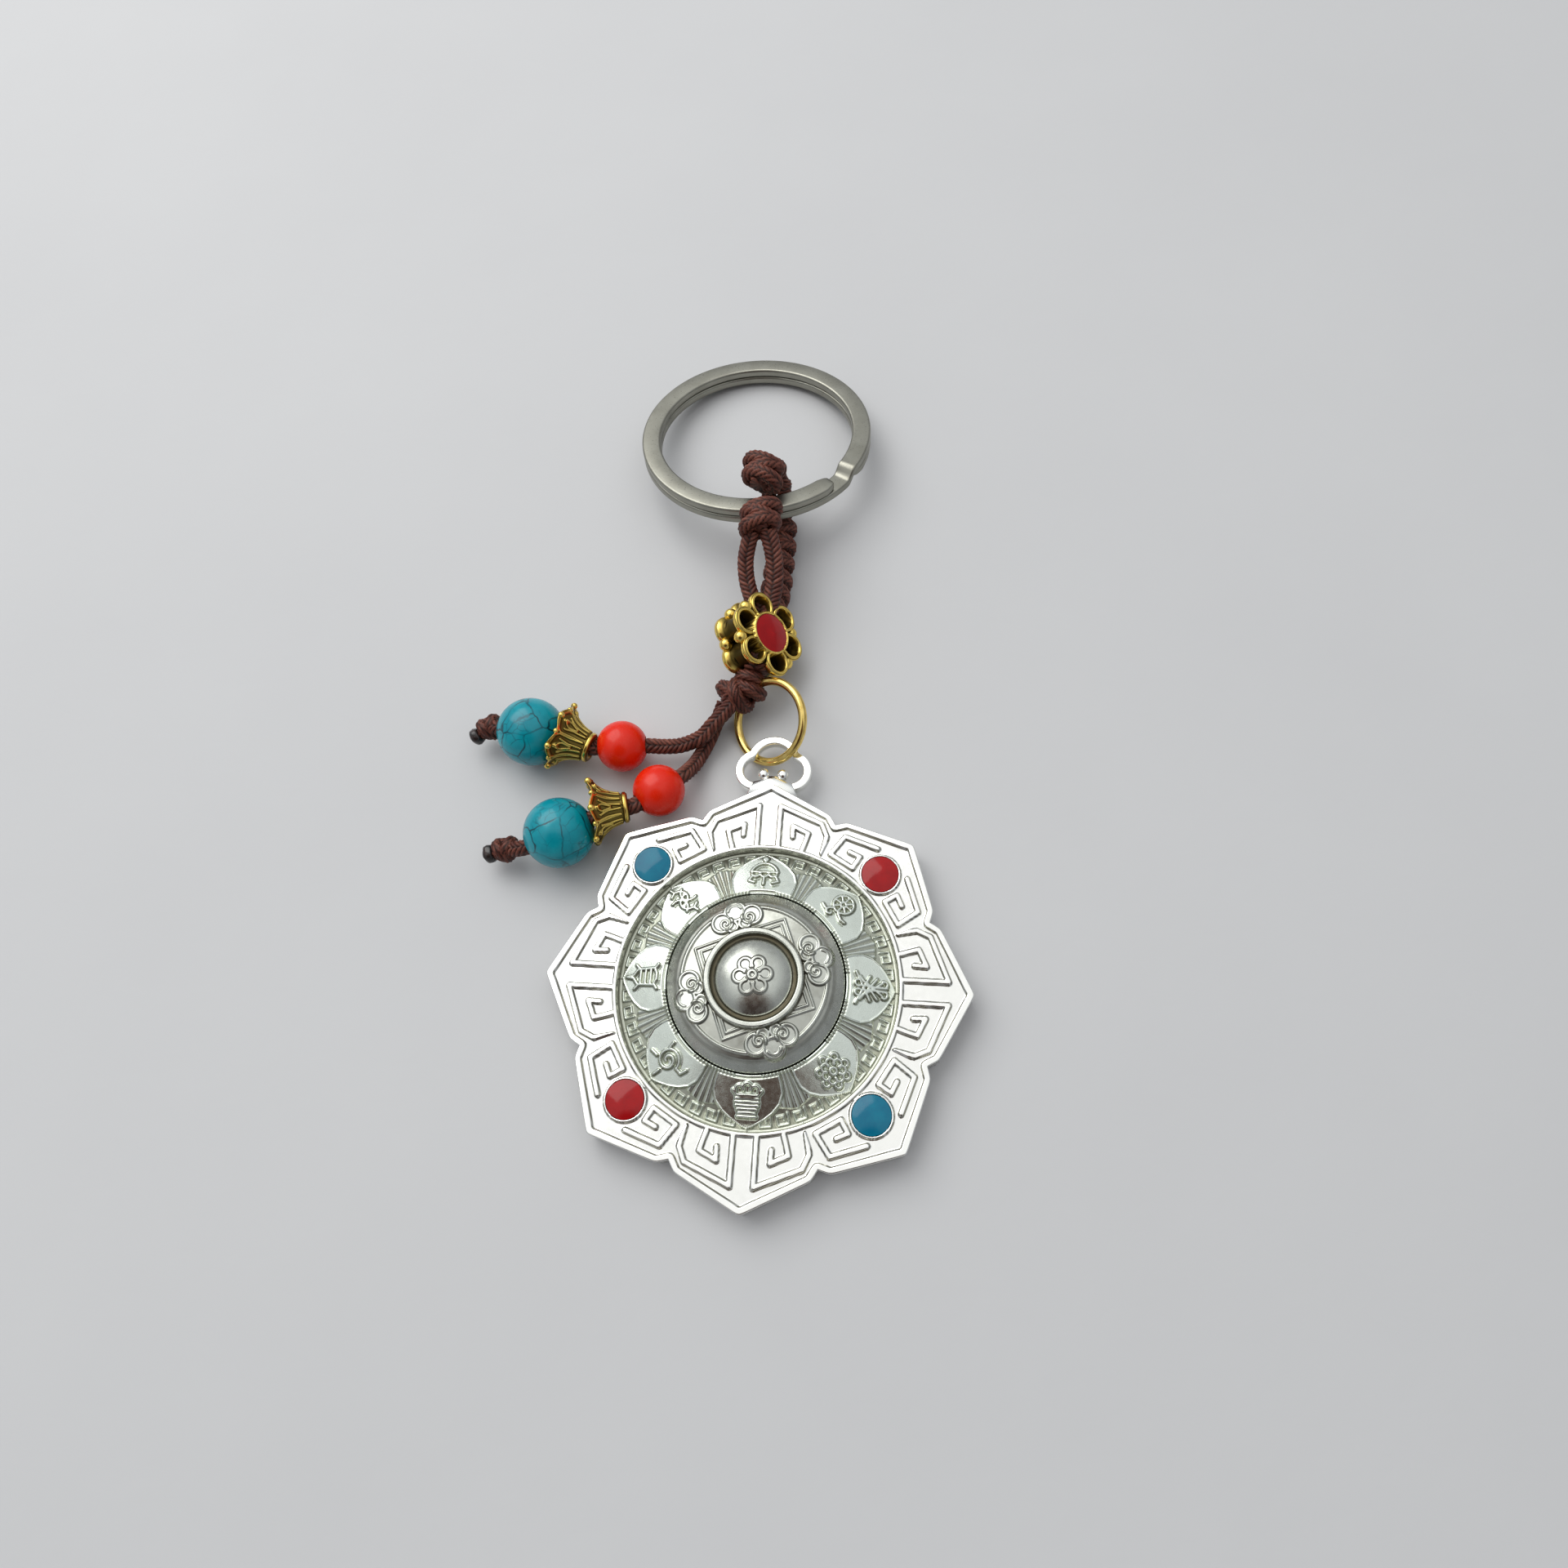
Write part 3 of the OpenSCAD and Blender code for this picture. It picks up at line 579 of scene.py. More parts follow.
# the bail: a bar bent to a three-lobed cloud, two balls and a wedge in its opening
BAIL_Z = (1.6, 2.8)
BAIL_MIDDLE_Y, BLEND = 25.2, 7  # the cloud's three circles run into each other; a higher blend is sharper
turn = np.radians(np.linspace(-62, 242, 150))
dx, dy = np.cos(turn), np.sin(turn)
reach = np.zeros_like(turn)
for cx, cy, r in ((-1.95, 24.9, 2.03), (1.95, 24.9, 2.03), (0, 26.1, 2.63)):
    b = dx * cx + dy * (cy - BAIL_MIDDLE_Y)
    inside = r * r - (cx * cx + (cy - BAIL_MIDDLE_Y) ** 2 - b * b)
    hit = np.where(inside > 0, b + np.sqrt(np.maximum(inside, 0)), 0)
    reach = np.log(np.exp(BLEND * reach) + np.exp(BLEND * hit)) / BLEND
line = np.stack([dx * reach, BAIL_MIDDLE_Y + dy * reach, np.full_like(turn, sum(BAIL_Z) / 2)], 1)
line, _ = respace(line, 0.12)
across, up, _ = frames_along(line)
half_w, half_h, soft_r = 0.48, (BAIL_Z[1] - BAIL_Z[0]) / 2, 0.18
section = []
for sx, sy, a0 in ((1, 1, 0), (-1, 1, 90), (-1, -1, 180), (1, -1, 270)):
    section += arc(sx * (half_w - soft_r), sy * (half_h - soft_r), soft_r, a0, a0 + 90, 5)
section = np.array(section)
p = line[:, None] + across[:, None] * section[None, :, :1] + up[:, None] * section[None, :, 1:]
cast.add(p, caps=(True, True))
for s in (-1, 1):
    ball(cast, (s * 1.12, 24.45, 2.4), 0.7, 0.95, 28)
wedge = [(-2.9, 21.8), (2.9, 21.8), (2.3, 23.35), (0.7, 23.85), (0.45, 24.15), (-0.45, 24.15), (-0.7, 23.85),
         (-2.3, 23.35)]
w = np.array([[(x, y, z) for x, y in wedge] for z in (1.3, 2.75, 2.9)])
w[2, :, :2] = (w[2, :, :2] - (0, 22.8)) * 0.95 + (0, 22.8)
cast.add(w, caps=(True, True))
cast.piece("lotus_casting", SILVER, "medallion", "silver_bright", ["lotus_frame"])

# ---------------------------------------------------------------- the petal ring

LIP_R, EMBLEM_R, KEY_UNITS = 9.6, 12.25, 48


def symbol_lines(k):
    """Strokes of the emblem on petal k, in mm about the emblem's middle, y up in the plan view."""
    if k == 0:  # parasol
        return [arc(0, -0.3, 1.5, 15, 165, 16), [(-1.45, 0.05), (1.45, 0.05)],
                arc(-0.95, -0.1, 0.45, 200, 340, 8),
                arc(0, -0.1, 0.45, 200, 340, 8), arc(0.95, -0.1, 0.45, 200, 340, 8), [(0, 1.2), (0, 1.7)],
                [(0, -0.5), (0, -1.5)], [(-1.3, -0.5), (-1.6, -1.1), (-1.0, -1.3)],
                [(1.3, -0.5), (1.6, -1.1), (1.0, -1.3)],
                arc(0, 1.75, 0.2, 0, 360, 8)]
    if k == 1:  # wheel with a ribbon
        out = [arc(0.25, 0.35, 1.1, 0, 360, 28), arc(0.25, 0.35, 0.3, 0, 360, 12)]
        for i in range(8):
            a = math.radians(45 * i + 10)
            out.append([(0.25 + 0.35 * math.cos(a), 0.35 + 0.35 * math.sin(a)),
                        (0.25 + math.cos(a), 0.35 + math.sin(a))])
        return out + [curl(-1.2, -0.6, 0.5, 0.2, 60, 330), [(-0.3, -0.8), (0.0, -1.5), (0.4, -1.8)],
                      [(-1.7, -0.2), (-2.0, 0.3)]]
    if k == 2:  # endless knot
        out = []
        for o in (-0.9, -0.3, 0.3, 0.9):
            e = 1.35 - abs(o) * 0.35
            out += [[(o - e / 1.4, o * 0.2 - e / 1.4 + o * 0.8), (o + e / 1.4, o * 0.2 + e / 1.4 - o * 0.8)],
                    [(o - e / 1.4, -o * 0.2 + e / 1.4 - o * 0.8), (o + e / 1.4,
                                                                   -o * 0.2 - e / 1.4 + o * 0.8)]]
        return out + [arc(1.35, 0.55, 0.35, -120, 120), arc(1.35, -0.55, 0.35, -120, 120),
                      arc(-1.35, 0.5, 0.35, 60, 300),
                      arc(-1.35, -0.5, 0.35, 60, 300)]
    if k == 3:  # lotus in bloom
        out = [arc(0, 0, 0.35, 0, 360, 12)]
        for i in range(7):
            a = 360 / 7 * i + 12
            c = math.radians(a)
            out.append(arc(0.85 * math.cos(c), 0.85 * math.sin(c), 0.42, a - 125, a + 125, 12))
        for i in range(7):
            a = 360 / 7 * (i + 0.5) + 12
            c = math.radians(a)
            out.append(arc(1.4 * math.cos(c), 1.4 * math.sin(c), 0.34, a - 80, a + 80, 8))
        return out
    if k == 4:  # banded vase with a flame of jewels
        out = [[(-w, y), (w, y)] for w, y in ((1.15, 0.35), (1.2, 0.0), (1.15, -0.35), (1.0, -0.7),
                                              (0.85, -1.05), (0.95, -1.4))]
        return out + [[(-1.5, 1.1), (-1.1, 0.65), (1.1, 0.65), (1.5, 1.1)], arc(-0.8, 1.15, 0.42, 0, 200),
                      arc(0, 1.35, 0.45, 0, 180),
                      arc(0.8, 1.15, 0.42, -20, 180)]
    if k == 5:  # conch
        return [curl(0.1, 0.1, 1.3, 0.25, -40, 560, 40), [(1.0, -0.7), (1.5, -1.2), (2.1, -0.9)],
                [(-1.2, 0.6), (-1.8, 1.1)],
                [(-0.9, -0.9), (-1.5, -1.3)], [(0.2, 1.3), (0.6, 1.8)]]
    if k == 6:  # banner
        return [[(-1.9, 0), (-1.1, 0.15), (-0.6, 0.8), (1.3, 0.9), (1.6, 0.3), (1.6, -0.3), (1.3, -0.9),
                 (-0.6, -0.8), (-1.1, -0.15),
                 (-1.9, 0)], [(-0.3, 0.8), (-0.3, -0.8)], [(0.3, 0.85), (0.3, -0.85)],
                [(0.9, 0.88), (0.9, -0.88)],
                [(-0.5, 0.9), (-0.9, 1.3)], [(-0.5, -0.9), (-0.9, -1.3)], [(1.4, 0.9), (1.7, 1.3)],
                [(1.4, -0.9), (1.7, -1.3)]]
    return [arc(-0.6, 0.1, 1.0, -60, 120), arc(0.4, 1.0, 1.0, 160, 330), arc(0.6, -0.1, 1.0, 120, 300),
            arc(-0.4, -1.0, 1.0, -20, 150),
            [(-1.3, 0.9), (-1.8, 1.2)], [(-1.3, 0.9), (-1.5, 0.3)], [(1.3, -0.9), (1.8, -1.2)],
            [(1.3, -0.9), (1.5, -0.3)],
            arc(-0.1, 0.75, 0.12, 0, 360, 7), arc(0.1, -0.75, 0.12, 0, 360, 7)]  # two fish


def petal_half_width(y):
    """Half the width of a petal at a height y along it."""
    return np.interp(y, [9.4, 10.2, 11.2, 12.2, 13.1, 13.8, 14.4, 14.8],
                     [3.2, 3.5, 3.7, 3.45, 2.75, 1.9, 0.9, 0.0])


def petal_relief(angle, r):
    """Height and painted shade of the petal ring: petals, leaves, key units and emblems."""
    x, y, lobe = lobe_place(angle, r)
    base = 3.95 - (r - 9.9) * 0.411
    base = np.where(r < 9.95, 4.25 - 0.3 * step_up(9.78, 9.95, r), base)
    inside = petal_half_width(y) - np.abs(x)
    petal = step_up(-0.06, 0.08, inside) * step_up(9.9, 10.05, r)
    rim = bar(np.abs(inside - 0.12), 0.14, 0.1) * petal
    # the ribbed leaf between two petals
    la = (angle + STEP / 2) / STEP
    leaf_x = r * np.sin((la - np.round(la)) * STEP)
    leaf_edge = np.interp(r, [9.9, 12.4, 12.95, 13.5], [2.4, 2.0, 1.75, 0.0])
    leaf_in = leaf_edge - np.abs(leaf_x)
    leaf = step_up(-0.05, 0.08, leaf_in) * (1 - petal)
    ribs = 0.5 + 0.5 * np.cos(leaf_x / (0.2 + 0.05 * (r - 10)) * math.pi)
    # small key units along the wall
    unit = 2 * math.pi / KEY_UNITS
    ua = (angle / unit) - np.round(angle / unit)
    kx, ky = ua * unit * r, r - 14.15
    key = bar(line_distance(kx, ky, [[(-0.6, -0.55), (-0.6, 0.45), (0.55, 0.45), (0.55, -0.4), (-0.15, -0.4),
                                      (-0.15, 0.05)]]), 0.2, 0.12)
    key = key * (1 - petal) * (1 - leaf) * step_up(13.3, 13.5, r)
    # emblems stand upright in plan, like the ones they copy
    gx, gy = r * np.sin(angle), r * np.cos(angle)
    sign = np.zeros_like(r)
    for i in range(LOBES):
        mask = lobe == i
        if mask.any():
            cx, cy = EMBLEM_R * math.sin(i * STEP), EMBLEM_R * math.cos(i * STEP)
            d = line_distance(gx[mask] - cx, gy[mask] - cy, symbol_lines(i))
            sign[mask] = bar(d, 0.34, 0.14)
    sign = sign * petal
    z = base + 0.34 * petal + 0.1 * rim + leaf * (0.12 + 0.13 * ribs) + 0.25 * key + 0.48 * sign
    z = z + 0.15 * step_up(14.85, 14.95, r)
    # painted shade on the sunken ground between petals, leaves and keys, in the grooves between leaf ribs,
    # and on the walls of the emblems and petals
    dark = np.maximum((1 - petal) * (1 - leaf) * (1 - key) * 0.5 * step_up(10, 10.2, r),
                      0.6 * leaf * (1 - ribs))
    dark = np.maximum(dark, 4 * sign * (1 - sign) * 0.95)
    dark = np.maximum(dark, 4 * petal * (1 - petal) * 0.7)
    return z, np.clip(dark, 0, 1)


lathe = Lathe(1200)
for r in np.concatenate([np.linspace(LIP_R + 0.03, 10.1, 7), np.linspace(10.18, 14.8, 58),
                         np.linspace(14.86, 15.15, 4)]):
    lathe.row(r, *petal_relief(lathe.angle, np.full_like(lathe.angle, r)))
# the ring's outer wall, underside and lip, with painted shade
for r, z in ((15.17, 1.9), (15.17, 1.5), (LIP_R, 1.5), (LIP_R, 4.15)):
    lathe.row(r, z, 0.3)
lathe.shape(closed=True).piece("petal_relief", ANTIQUE, "medallion", "silver_antique", ["petal_ring"])

# ---------------------------------------------------------------- the turning hub

CLOUD_TURN, CLOUD_AT, QUARTER = math.radians(-20.3), 6.65, math.pi / 2
SQUARE_TURN = math.radians(23)


def hub_relief(angle, r):
    """Height and painted shade of the hub: four clouds, a slanted square, an arc and the rims."""
    z = np.interp(r, [4.6, 4.68, 5.1, 5.22, 5.34, 7.9, 8.25, 8.8, 9.3, 9.46],
                  [6.75, 7.0, 7.0, 6.85, 6.16, 5.78, 5.62, 5.05, 4.55, 4.4])
    la = (angle - CLOUD_TURN) / QUARTER
    local = (la - np.round(la)) * QUARTER
    u, w = r * np.sin(local), r * np.cos(local) - CLOUD_AT
    body = np.full_like(r, 9.0)
    for cx, cy, cr in ((0, 0.85, 1.25), (-1.65, -0.05, 1.2), (1.65, -0.05, 1.2), (-0.7, -0.75, 0.75),
                       (0.7, -0.75, 0.75)):
        body = np.minimum(body, np.hypot(u - cx, w - cy) - cr)
    cloud = 1 - step_up(-0.06, 0.06, body)
    rim = bar(np.abs(body + 0.18), 0.3, 0.14)
    s = np.abs(u)
    spiral = bar(line_distance(s, w, [curl(1.3, -0.25, 0.8, 0.14, 150, 620, 30)]), 0.26, 0.14)
    inner = bar(line_distance(s, w, [arc(0, 0.75, 0.75, 20, 90, 8)]), 0.22, 0.12)
    sa = (angle - SQUARE_TURN) / QUARTER
    sl = (sa - np.round(sa)) * QUARTER
    qx, qy = np.abs(r * np.sin(sl)), r * np.cos(sl)
    slant = [[(0, 7.05), (2.6, 4.45)], [(0, 6.3), (1.9, 4.4)]]
    square = bar(line_distance(qx, qy, slant), 0.2, 0.14) * (1 - cloud)
    arc_line = bar(np.abs(r - 7.67), 0.3, 0.16) * (1 - cloud)
    field = step_up(5.3, 5.4, r) * (1 - step_up(8.4, 8.8, r))
    raised = 0.2 * cloud + 0.18 * rim * cloud + 0.18 * spiral * cloud + 0.14 * inner * cloud
    z = z + field * (raised + 0.15 * square + 0.2 * arc_line)
    z = z + 0.1 * cloud * (1 - field) * (1 - step_up(8.5, 8.7, r))
    # painted shade on the walls of clouds and spirals, on the sunken field, and in the grooves at radii 5.34
    # and 8.42
    dark = np.maximum(4 * cloud * (1 - cloud), 3 * spiral * (1 - spiral) * cloud) * 0.6
    dark = np.maximum(dark, field * (1 - cloud) * (1 - square) * (1 - arc_line) * 0.25)
    dark = np.maximum(dark, bar(np.abs(r - 5.34), 0.16, 0.1) * 0.8)
    dark = np.maximum(dark, bar(np.abs(r - 8.42), 0.2, 0.14) * 0.35)
    return z, np.clip(dark, 0, 1)


lathe = Lathe(800)
for r in np.concatenate([np.linspace(4.6, 5.4, 14), np.linspace(5.47, 8.6, 48), np.linspace(8.68, 9.44, 10)]):
    lathe.row(r, *hub_relief(lathe.angle, np.full_like(lathe.angle, r)))
# the hub's side, underside and bore, with painted shade on the side and underside and dense painted shade in
# the groove round the cap
for r, z, c in ((9.47, 4.2, 0), (9.47, 3.6, 0.1), (9.2, 3.4, 0.3), (9.2, 2.3, 0.3), (9.1, 2.2, 0.3),
                (8.5, 2.2, 0.3), (8.4, 3.2, 0), (7.6, 4, 0), (3.6, 4, 0),
                (3.6, 1.85, 0), (1.55, 1.85, 0), (1.55, 4.6, 0), (3.3, 4.6, 0), (3.3, 6.1, 0),
                (4.1, 6.1, 0.4), (4.1, 6.5, 0.9),
                (4.3, 6.42, 1), (4.5, 6.5, 1), (4.58, 6.65, 0.8)):
    lathe.row(r, z, c)
lathe.shape(closed=True).piece("hub_relief", HUB, "wheel", "silver_antique", ["hub_drum"])

# the cap, with a plain six-petalled rosette
CAP_R, CAP_EDGE, CAP_TOP = 4.1, 6.55, 7.9
rise = CAP_TOP - CAP_EDGE
sphere_r = (CAP_R ** 2 + rise ** 2) / (2 * rise)
rosette = [arc(0, 0, 0.4, 0, 360, 14)]
for i in range(6):
    a = 60 * i + 8
    c = math.radians(a)
    rosette.append(arc(1.35 * math.cos(c), 1.35 * math.sin(c), 0.66, a - 150, a + 150, 18))
lathe = Lathe(400)
for r in np.concatenate([np.linspace(0.02, 2.3, 34), np.linspace(2.4, 4.0, 12)]):
    up_line = bar(line_distance(r * np.sin(lathe.angle), r * np.cos(lathe.angle), rosette), 0.34, 0.14)
    z = CAP_TOP - sphere_r + math.sqrt(sphere_r ** 2 - r * r) + 0.17 * up_line - 0.02
    # painted shade on the walls of the rosette's lines
    lathe.row(r, z, 4 * up_line * (1 - up_line) * 0.8)
# the cap's side, painted in shade
for r, z in ((4.08, 6.5), (4.08, 6.1)):
    lathe.row(r, z, 0.7)
lathe.shape(caps=(True, True)).piece(
    "cap_rosette", HUB, "wheel", "silver_antique", ["dome_cap"])

# ---------------------------------------------------------------- the flower bead

PETAL_AT, PETAL_R = 3.45, 1.75
HUB_H, FLOWER_H, ENAMEL_R = 4.8, 4.4, 2.35
flower_matrix = Matrix.Translation(FLOWER_AT.tolist()) @ Matrix.Rotation(FLOWER_LEAN, 4, "Y")
ang = np.linspace(0, 2 * math.pi, 480, endpoint=False)
pl = (ang - math.radians(FLOWER_TURN)) / (math.pi / 3)
pl = (pl - np.round(pl)) * math.pi / 3
edge_r = PETAL_AT * np.cos(pl) + np.sqrt(np.maximum(PETAL_R ** 2 - (PETAL_AT * np.sin(pl)) ** 2, 0.01))


def flower_face(u):
    """Radius, height and painted shade at a share u of the way out to the flower's edge."""
    r = 0.02 + (edge_r - 0.12) * u
    px, py = r * np.cos(pl), r * np.sin(pl)
    d_loop = np.hypot(px - PETAL_AT, py)
    loop = bar(np.abs(d_loop - (PETAL_R - 0.3)), 0.5, 0.34)
    hole = 1 - step_up(PETAL_R - 0.66, PETAL_R - 0.5, d_loop)
    centre = 1 - step_up(ENAMEL_R + 0.32, ENAMEL_R + 0.4, r)
    rim = bar(np.abs(r - ENAMEL_R - 0.16), 0.3, 0.2)
    between = (1 - step_up(PETAL_R - 0.2, PETAL_R, d_loop)) < 0.5
    z = np.full_like(r, FLOWER_H / 2 - 0.55)
    z = z + 0.55 * loop - 1.1 * hole * (1 - centre)
    z = np.where(centre > 0, np.maximum(z * (1 - centre), 0) + centre * (HUB_H / 2 - 0.1 + 0.2 * rim), z)
    z = np.where(r < ENAMEL_R - 0.02, HUB_H / 2 - 0.45, z)
    # painted shade in the sunken holes of the petal loops and off the loops, none on the rim or the enamel,
    # and dense shade on the ground between petals
    dark = np.clip(np.maximum(hole, 1 - loop), 0, 1) * (1 - np.clip(rim + (r < ENAMEL_R), 0, 1))
    dark = np.where(between & (r > ENAMEL_R + 0.35), np.maximum(dark, 0.85), dark)
    return r, z, dark


rows, darks = [], []
for u in np.linspace(0, 1, 46):
    r, z, dark = flower_face(u)
    rows.append((r, z)), darks.append(dark)
full = list(rows)
# the flower's side, with painted shade on its sunken waist and in the notches between petals, then the back
# face, a mirror of the front
for inset, z in ((0.06, 2.08), (0.0, 1.9), (0.0, 1.55), (0.12, 1.3), (0.6, 1.1), (0.75, 0.4), (0.75, 0),
                 (0.75, -0.4), (0.6, -1.1),
                 (0.12, -1.3), (0, -1.55), (0, -1.9), (0.06, -2.08)):
    full.append((edge_r - inset, np.full_like(ang, z)))
    darks.append(np.full_like(ang, 0.9 if inset >= 0.5 else 0.0) + 0.9 * (np.abs(pl) > 0.47))
full += [(r, -z) for r, z in rows[::-1]]
darks += darks[:46][::-1]
p = np.array([np.stack([r * np.cos(ang), r * np.sin(ang), z], -1) for r, z in full])
flower = Shape().add(p, caps=(True, True), cavity=np.clip(np.array(darks), 0, 1))
for a in (30, 150, 210, 330):
    for s in (-1, 1):
        c = math.radians(a + FLOWER_TURN)
        ball(flower, (4.15 * math.cos(c), 4.15 * math.sin(c), s * 1.35), 0.8, 1.0, 24)
flower.piece("flower_casting", GOLD_OLD, "strap", "gold_antique", ["flower_bead"], flower_matrix)

# ---------------------------------------------------------------- strap: knots, fold and sinnet

strands = Shape()
braid(strands, smooth_line(LEFT_STRAND, 8), 2.0, flat=0.85, start=(0, 0.3, 1))
strands.piece("left_strand_braid", CORD, "strap", "cord_brown", ["left_front_strand"])
strands = Shape()
braid(strands, smooth_line(RIGHT_STRAND, 8), 2.15, flat=0.85, start=(0, 0.3, 1))
strands.piece("right_strand_braid", CORD, "strap", "cord_brown", ["right_front_strand"])


def wrap_band(shape, at, along, side, rx, ry, d, tilt):
    """One wrap of cord round a bundle that runs along: a tilted braided loop."""
    along, side = np.array(along, float), np.array(side, float)
    normal = along / np.linalg.norm(along) + side * math.tan(math.radians(tilt))
    braid(shape, loop_path(at, normal, side, rx, ry), d, closed=True, start=normal, around=32, step=0.1)


WRAP_STEP = 1.0
knots = Shape()
for (x, y, z), tilts in (((-3.4, 61.75, 9.55), (22, -20, 18)), ((-3.15, 54.95, 9.55), (-20, 22, -18))):
    for j, tilt in enumerate(tilts):
        wrap_band(knots, (x, y + (j - 1) * WRAP_STEP, z), (0, 1, 0.03), (1, 0, 0), 1.85, 1.35, 1.75, tilt)
    braid(knots, [(x - 0.2, y - 1.9, z), (x, y, z), (x + 0.2, y + 1.9, z)], 2.6, around=40, step=0.12)
knots.piece("front_knot_wraps", CORD, "strap", "cord_brown", ["front_knots"])

fold = Shape()
fold_line = smooth_line(FOLD, 8)
for off, d in ((-1.05, 1.9), (1.0, 1.95)):
    braid(fold, fold_line + (off, 0, 0), d, start=(1, 0, 0))
wrap_band(fold, (-2.6, 63.6, 5.0), (-0.15, 0.45, 1), (1, 0, 0), 1.75, 1.25, 1.3, 14)
wrap_band(fold, (-3.0, 63.95, 6.9), (-0.1, 0, 1), (1, 0, 0), 1.75, 1.25, 1.3, -16)
fold.piece("fold_braids", CORD, "strap", "cord_brown", ["loop_fold"])

sinnet = Shape()
sinnet_line, _ = respace(smooth_line(SINNET, 8), 0.1)
WRAPS = 13
for i in range(WRAPS):
    j = int((i + 0.4) / WRAPS * (len(sinnet_line) - 1))
    t = sinnet_line[min(j + 3, len(sinnet_line) - 1)] - sinnet_line[max(j - 3, 0)]
    wrap_band(sinnet, sinnet_line[j], t, (1, 0, 0), 1.35, 1.3, 1.42, 26 if i % 2 else -26)
braid(sinnet, sinnet_line, 2.0, cols=6, pitch=1.0, around=24, step=0.2, start=(1, 0, 0))
sinnet.piece("sinnet_wraps", CORD, "strap", "cord_brown", ["rear_sinnet"])

knot = Shape()
for at, normal, rx, ry, d in (((-5.5, 34.2, 3.0), (0.6, 0.8, 0.1), 1.45, 1.55, 1.8),
                              ((-4.9, 34.6, 3.3), (-0.7, 0.65, 0.2), 1.6, 1.6, 1.75),
                              ((-3.5, 34.7, 3.7), (0.35, 0.9, 0.3), 1.4, 1.35, 1.7),
                              ((-4.4, 34.1, 3.6), (0.9, 0.1, 0.4), 1.65, 1.45, 1.7),
                              ((-3.5, 35.9, 4.3), (0.2, 1.0, 0.2), 1.05, 1.05, 1.6)):
    path = loop_path(at, normal, (0.3, -0.2, 1), rx, ry)
    braid(knot, path, d, cols=6, pitch=0.6, closed=True, start=normal, around=36, step=0.1)
braid(knot, [(-6.2, 33.2, 3.0), (-4.6, 34.4, 3.4), (-3.2, 36.2, 4.6)], 2.4, around=40, step=0.12)
bore = Shape()
braid(bore, [(-2.7, 36.4, 5.3), (-2.7, 44.9, 5.3)], 2.9, around=40, step=0.12)
bore.piece("bore_cord_braid", CORD, "strap", "cord_brown", ["bore_cord"])
knot.piece("button_knot_braids", CORD, "strap", "cord_brown", ["button_knot"])

for side, at, out in (("upper", (-34.5, 28.8, 3.2), (-1.7, -0.9, -0.6)),
                      ("lower", (-30.2, 13.8, 2.8), (-1.8, -0.4, -0.4))):
    stopper = Shape()
    o = np.array(out) / np.linalg.norm(out)
    for normal, shift, rx in ((o + (0, 0.5, 0.3), -0.55, 0.95), (o - (0, 0.55, 0.2), 0.15, 1.0),
                              ((0.3, 0.2, 1), -0.1, 0.85)):
        braid(stopper, loop_path(np.array(at) + o * shift, normal, (0, 0, 1), rx, rx), 1.25, closed=True,
              pitch=0.7,
              start=normal, around=24, step=0.1)
    braid(stopper, [np.array(at) - o * 1.2, np.array(at) + o * 1.9], 1.5, around=24)
    stopper.piece(side + "_stopper_knot", CORD, "strap", "cord_brown", [side + "_end_knot"])
    tip = Shape()
    n = 28
    a = np.linspace(0, 2 * math.pi, n, endpoint=False)
    tip_rows, rng = [], np.random.default_rng(7 if side == "upper" else 8)
    lumps = rng.uniform(-0.07, 0.07, (6, n))
    for j, (s, r) in enumerate(((1.2, 0.85), (1.5, 1.0), (1.85, 1.08), (2.2, 1.0), (2.42, 0.7), (2.5, 0.25))):
        bumpy = r * (1 + (lumps[j] + np.roll(lumps[j], 1) + np.roll(lumps[j], 2)) * 0.7)
        side_axis = np.cross(o, (0, 0, 1))
        side_axis /= np.linalg.norm(side_axis)
        other = np.cross(o, side_axis)
        tip_rows.append(np.array(at) + o * s + np.outer(bumpy * np.cos(a),
                                                        side_axis) + np.outer(bumpy * np.sin(a), other))
    tip.add(np.array(tip_rows), caps=(True, True)).piece(side + "_melted_end", MELTED, "strap", "cord_melted",
                                                         [side + "_sealed_tip"])

# ---------------------------------------------------------------- bead caps

CUP_LEN, SCALLOPS = 4.3, 6


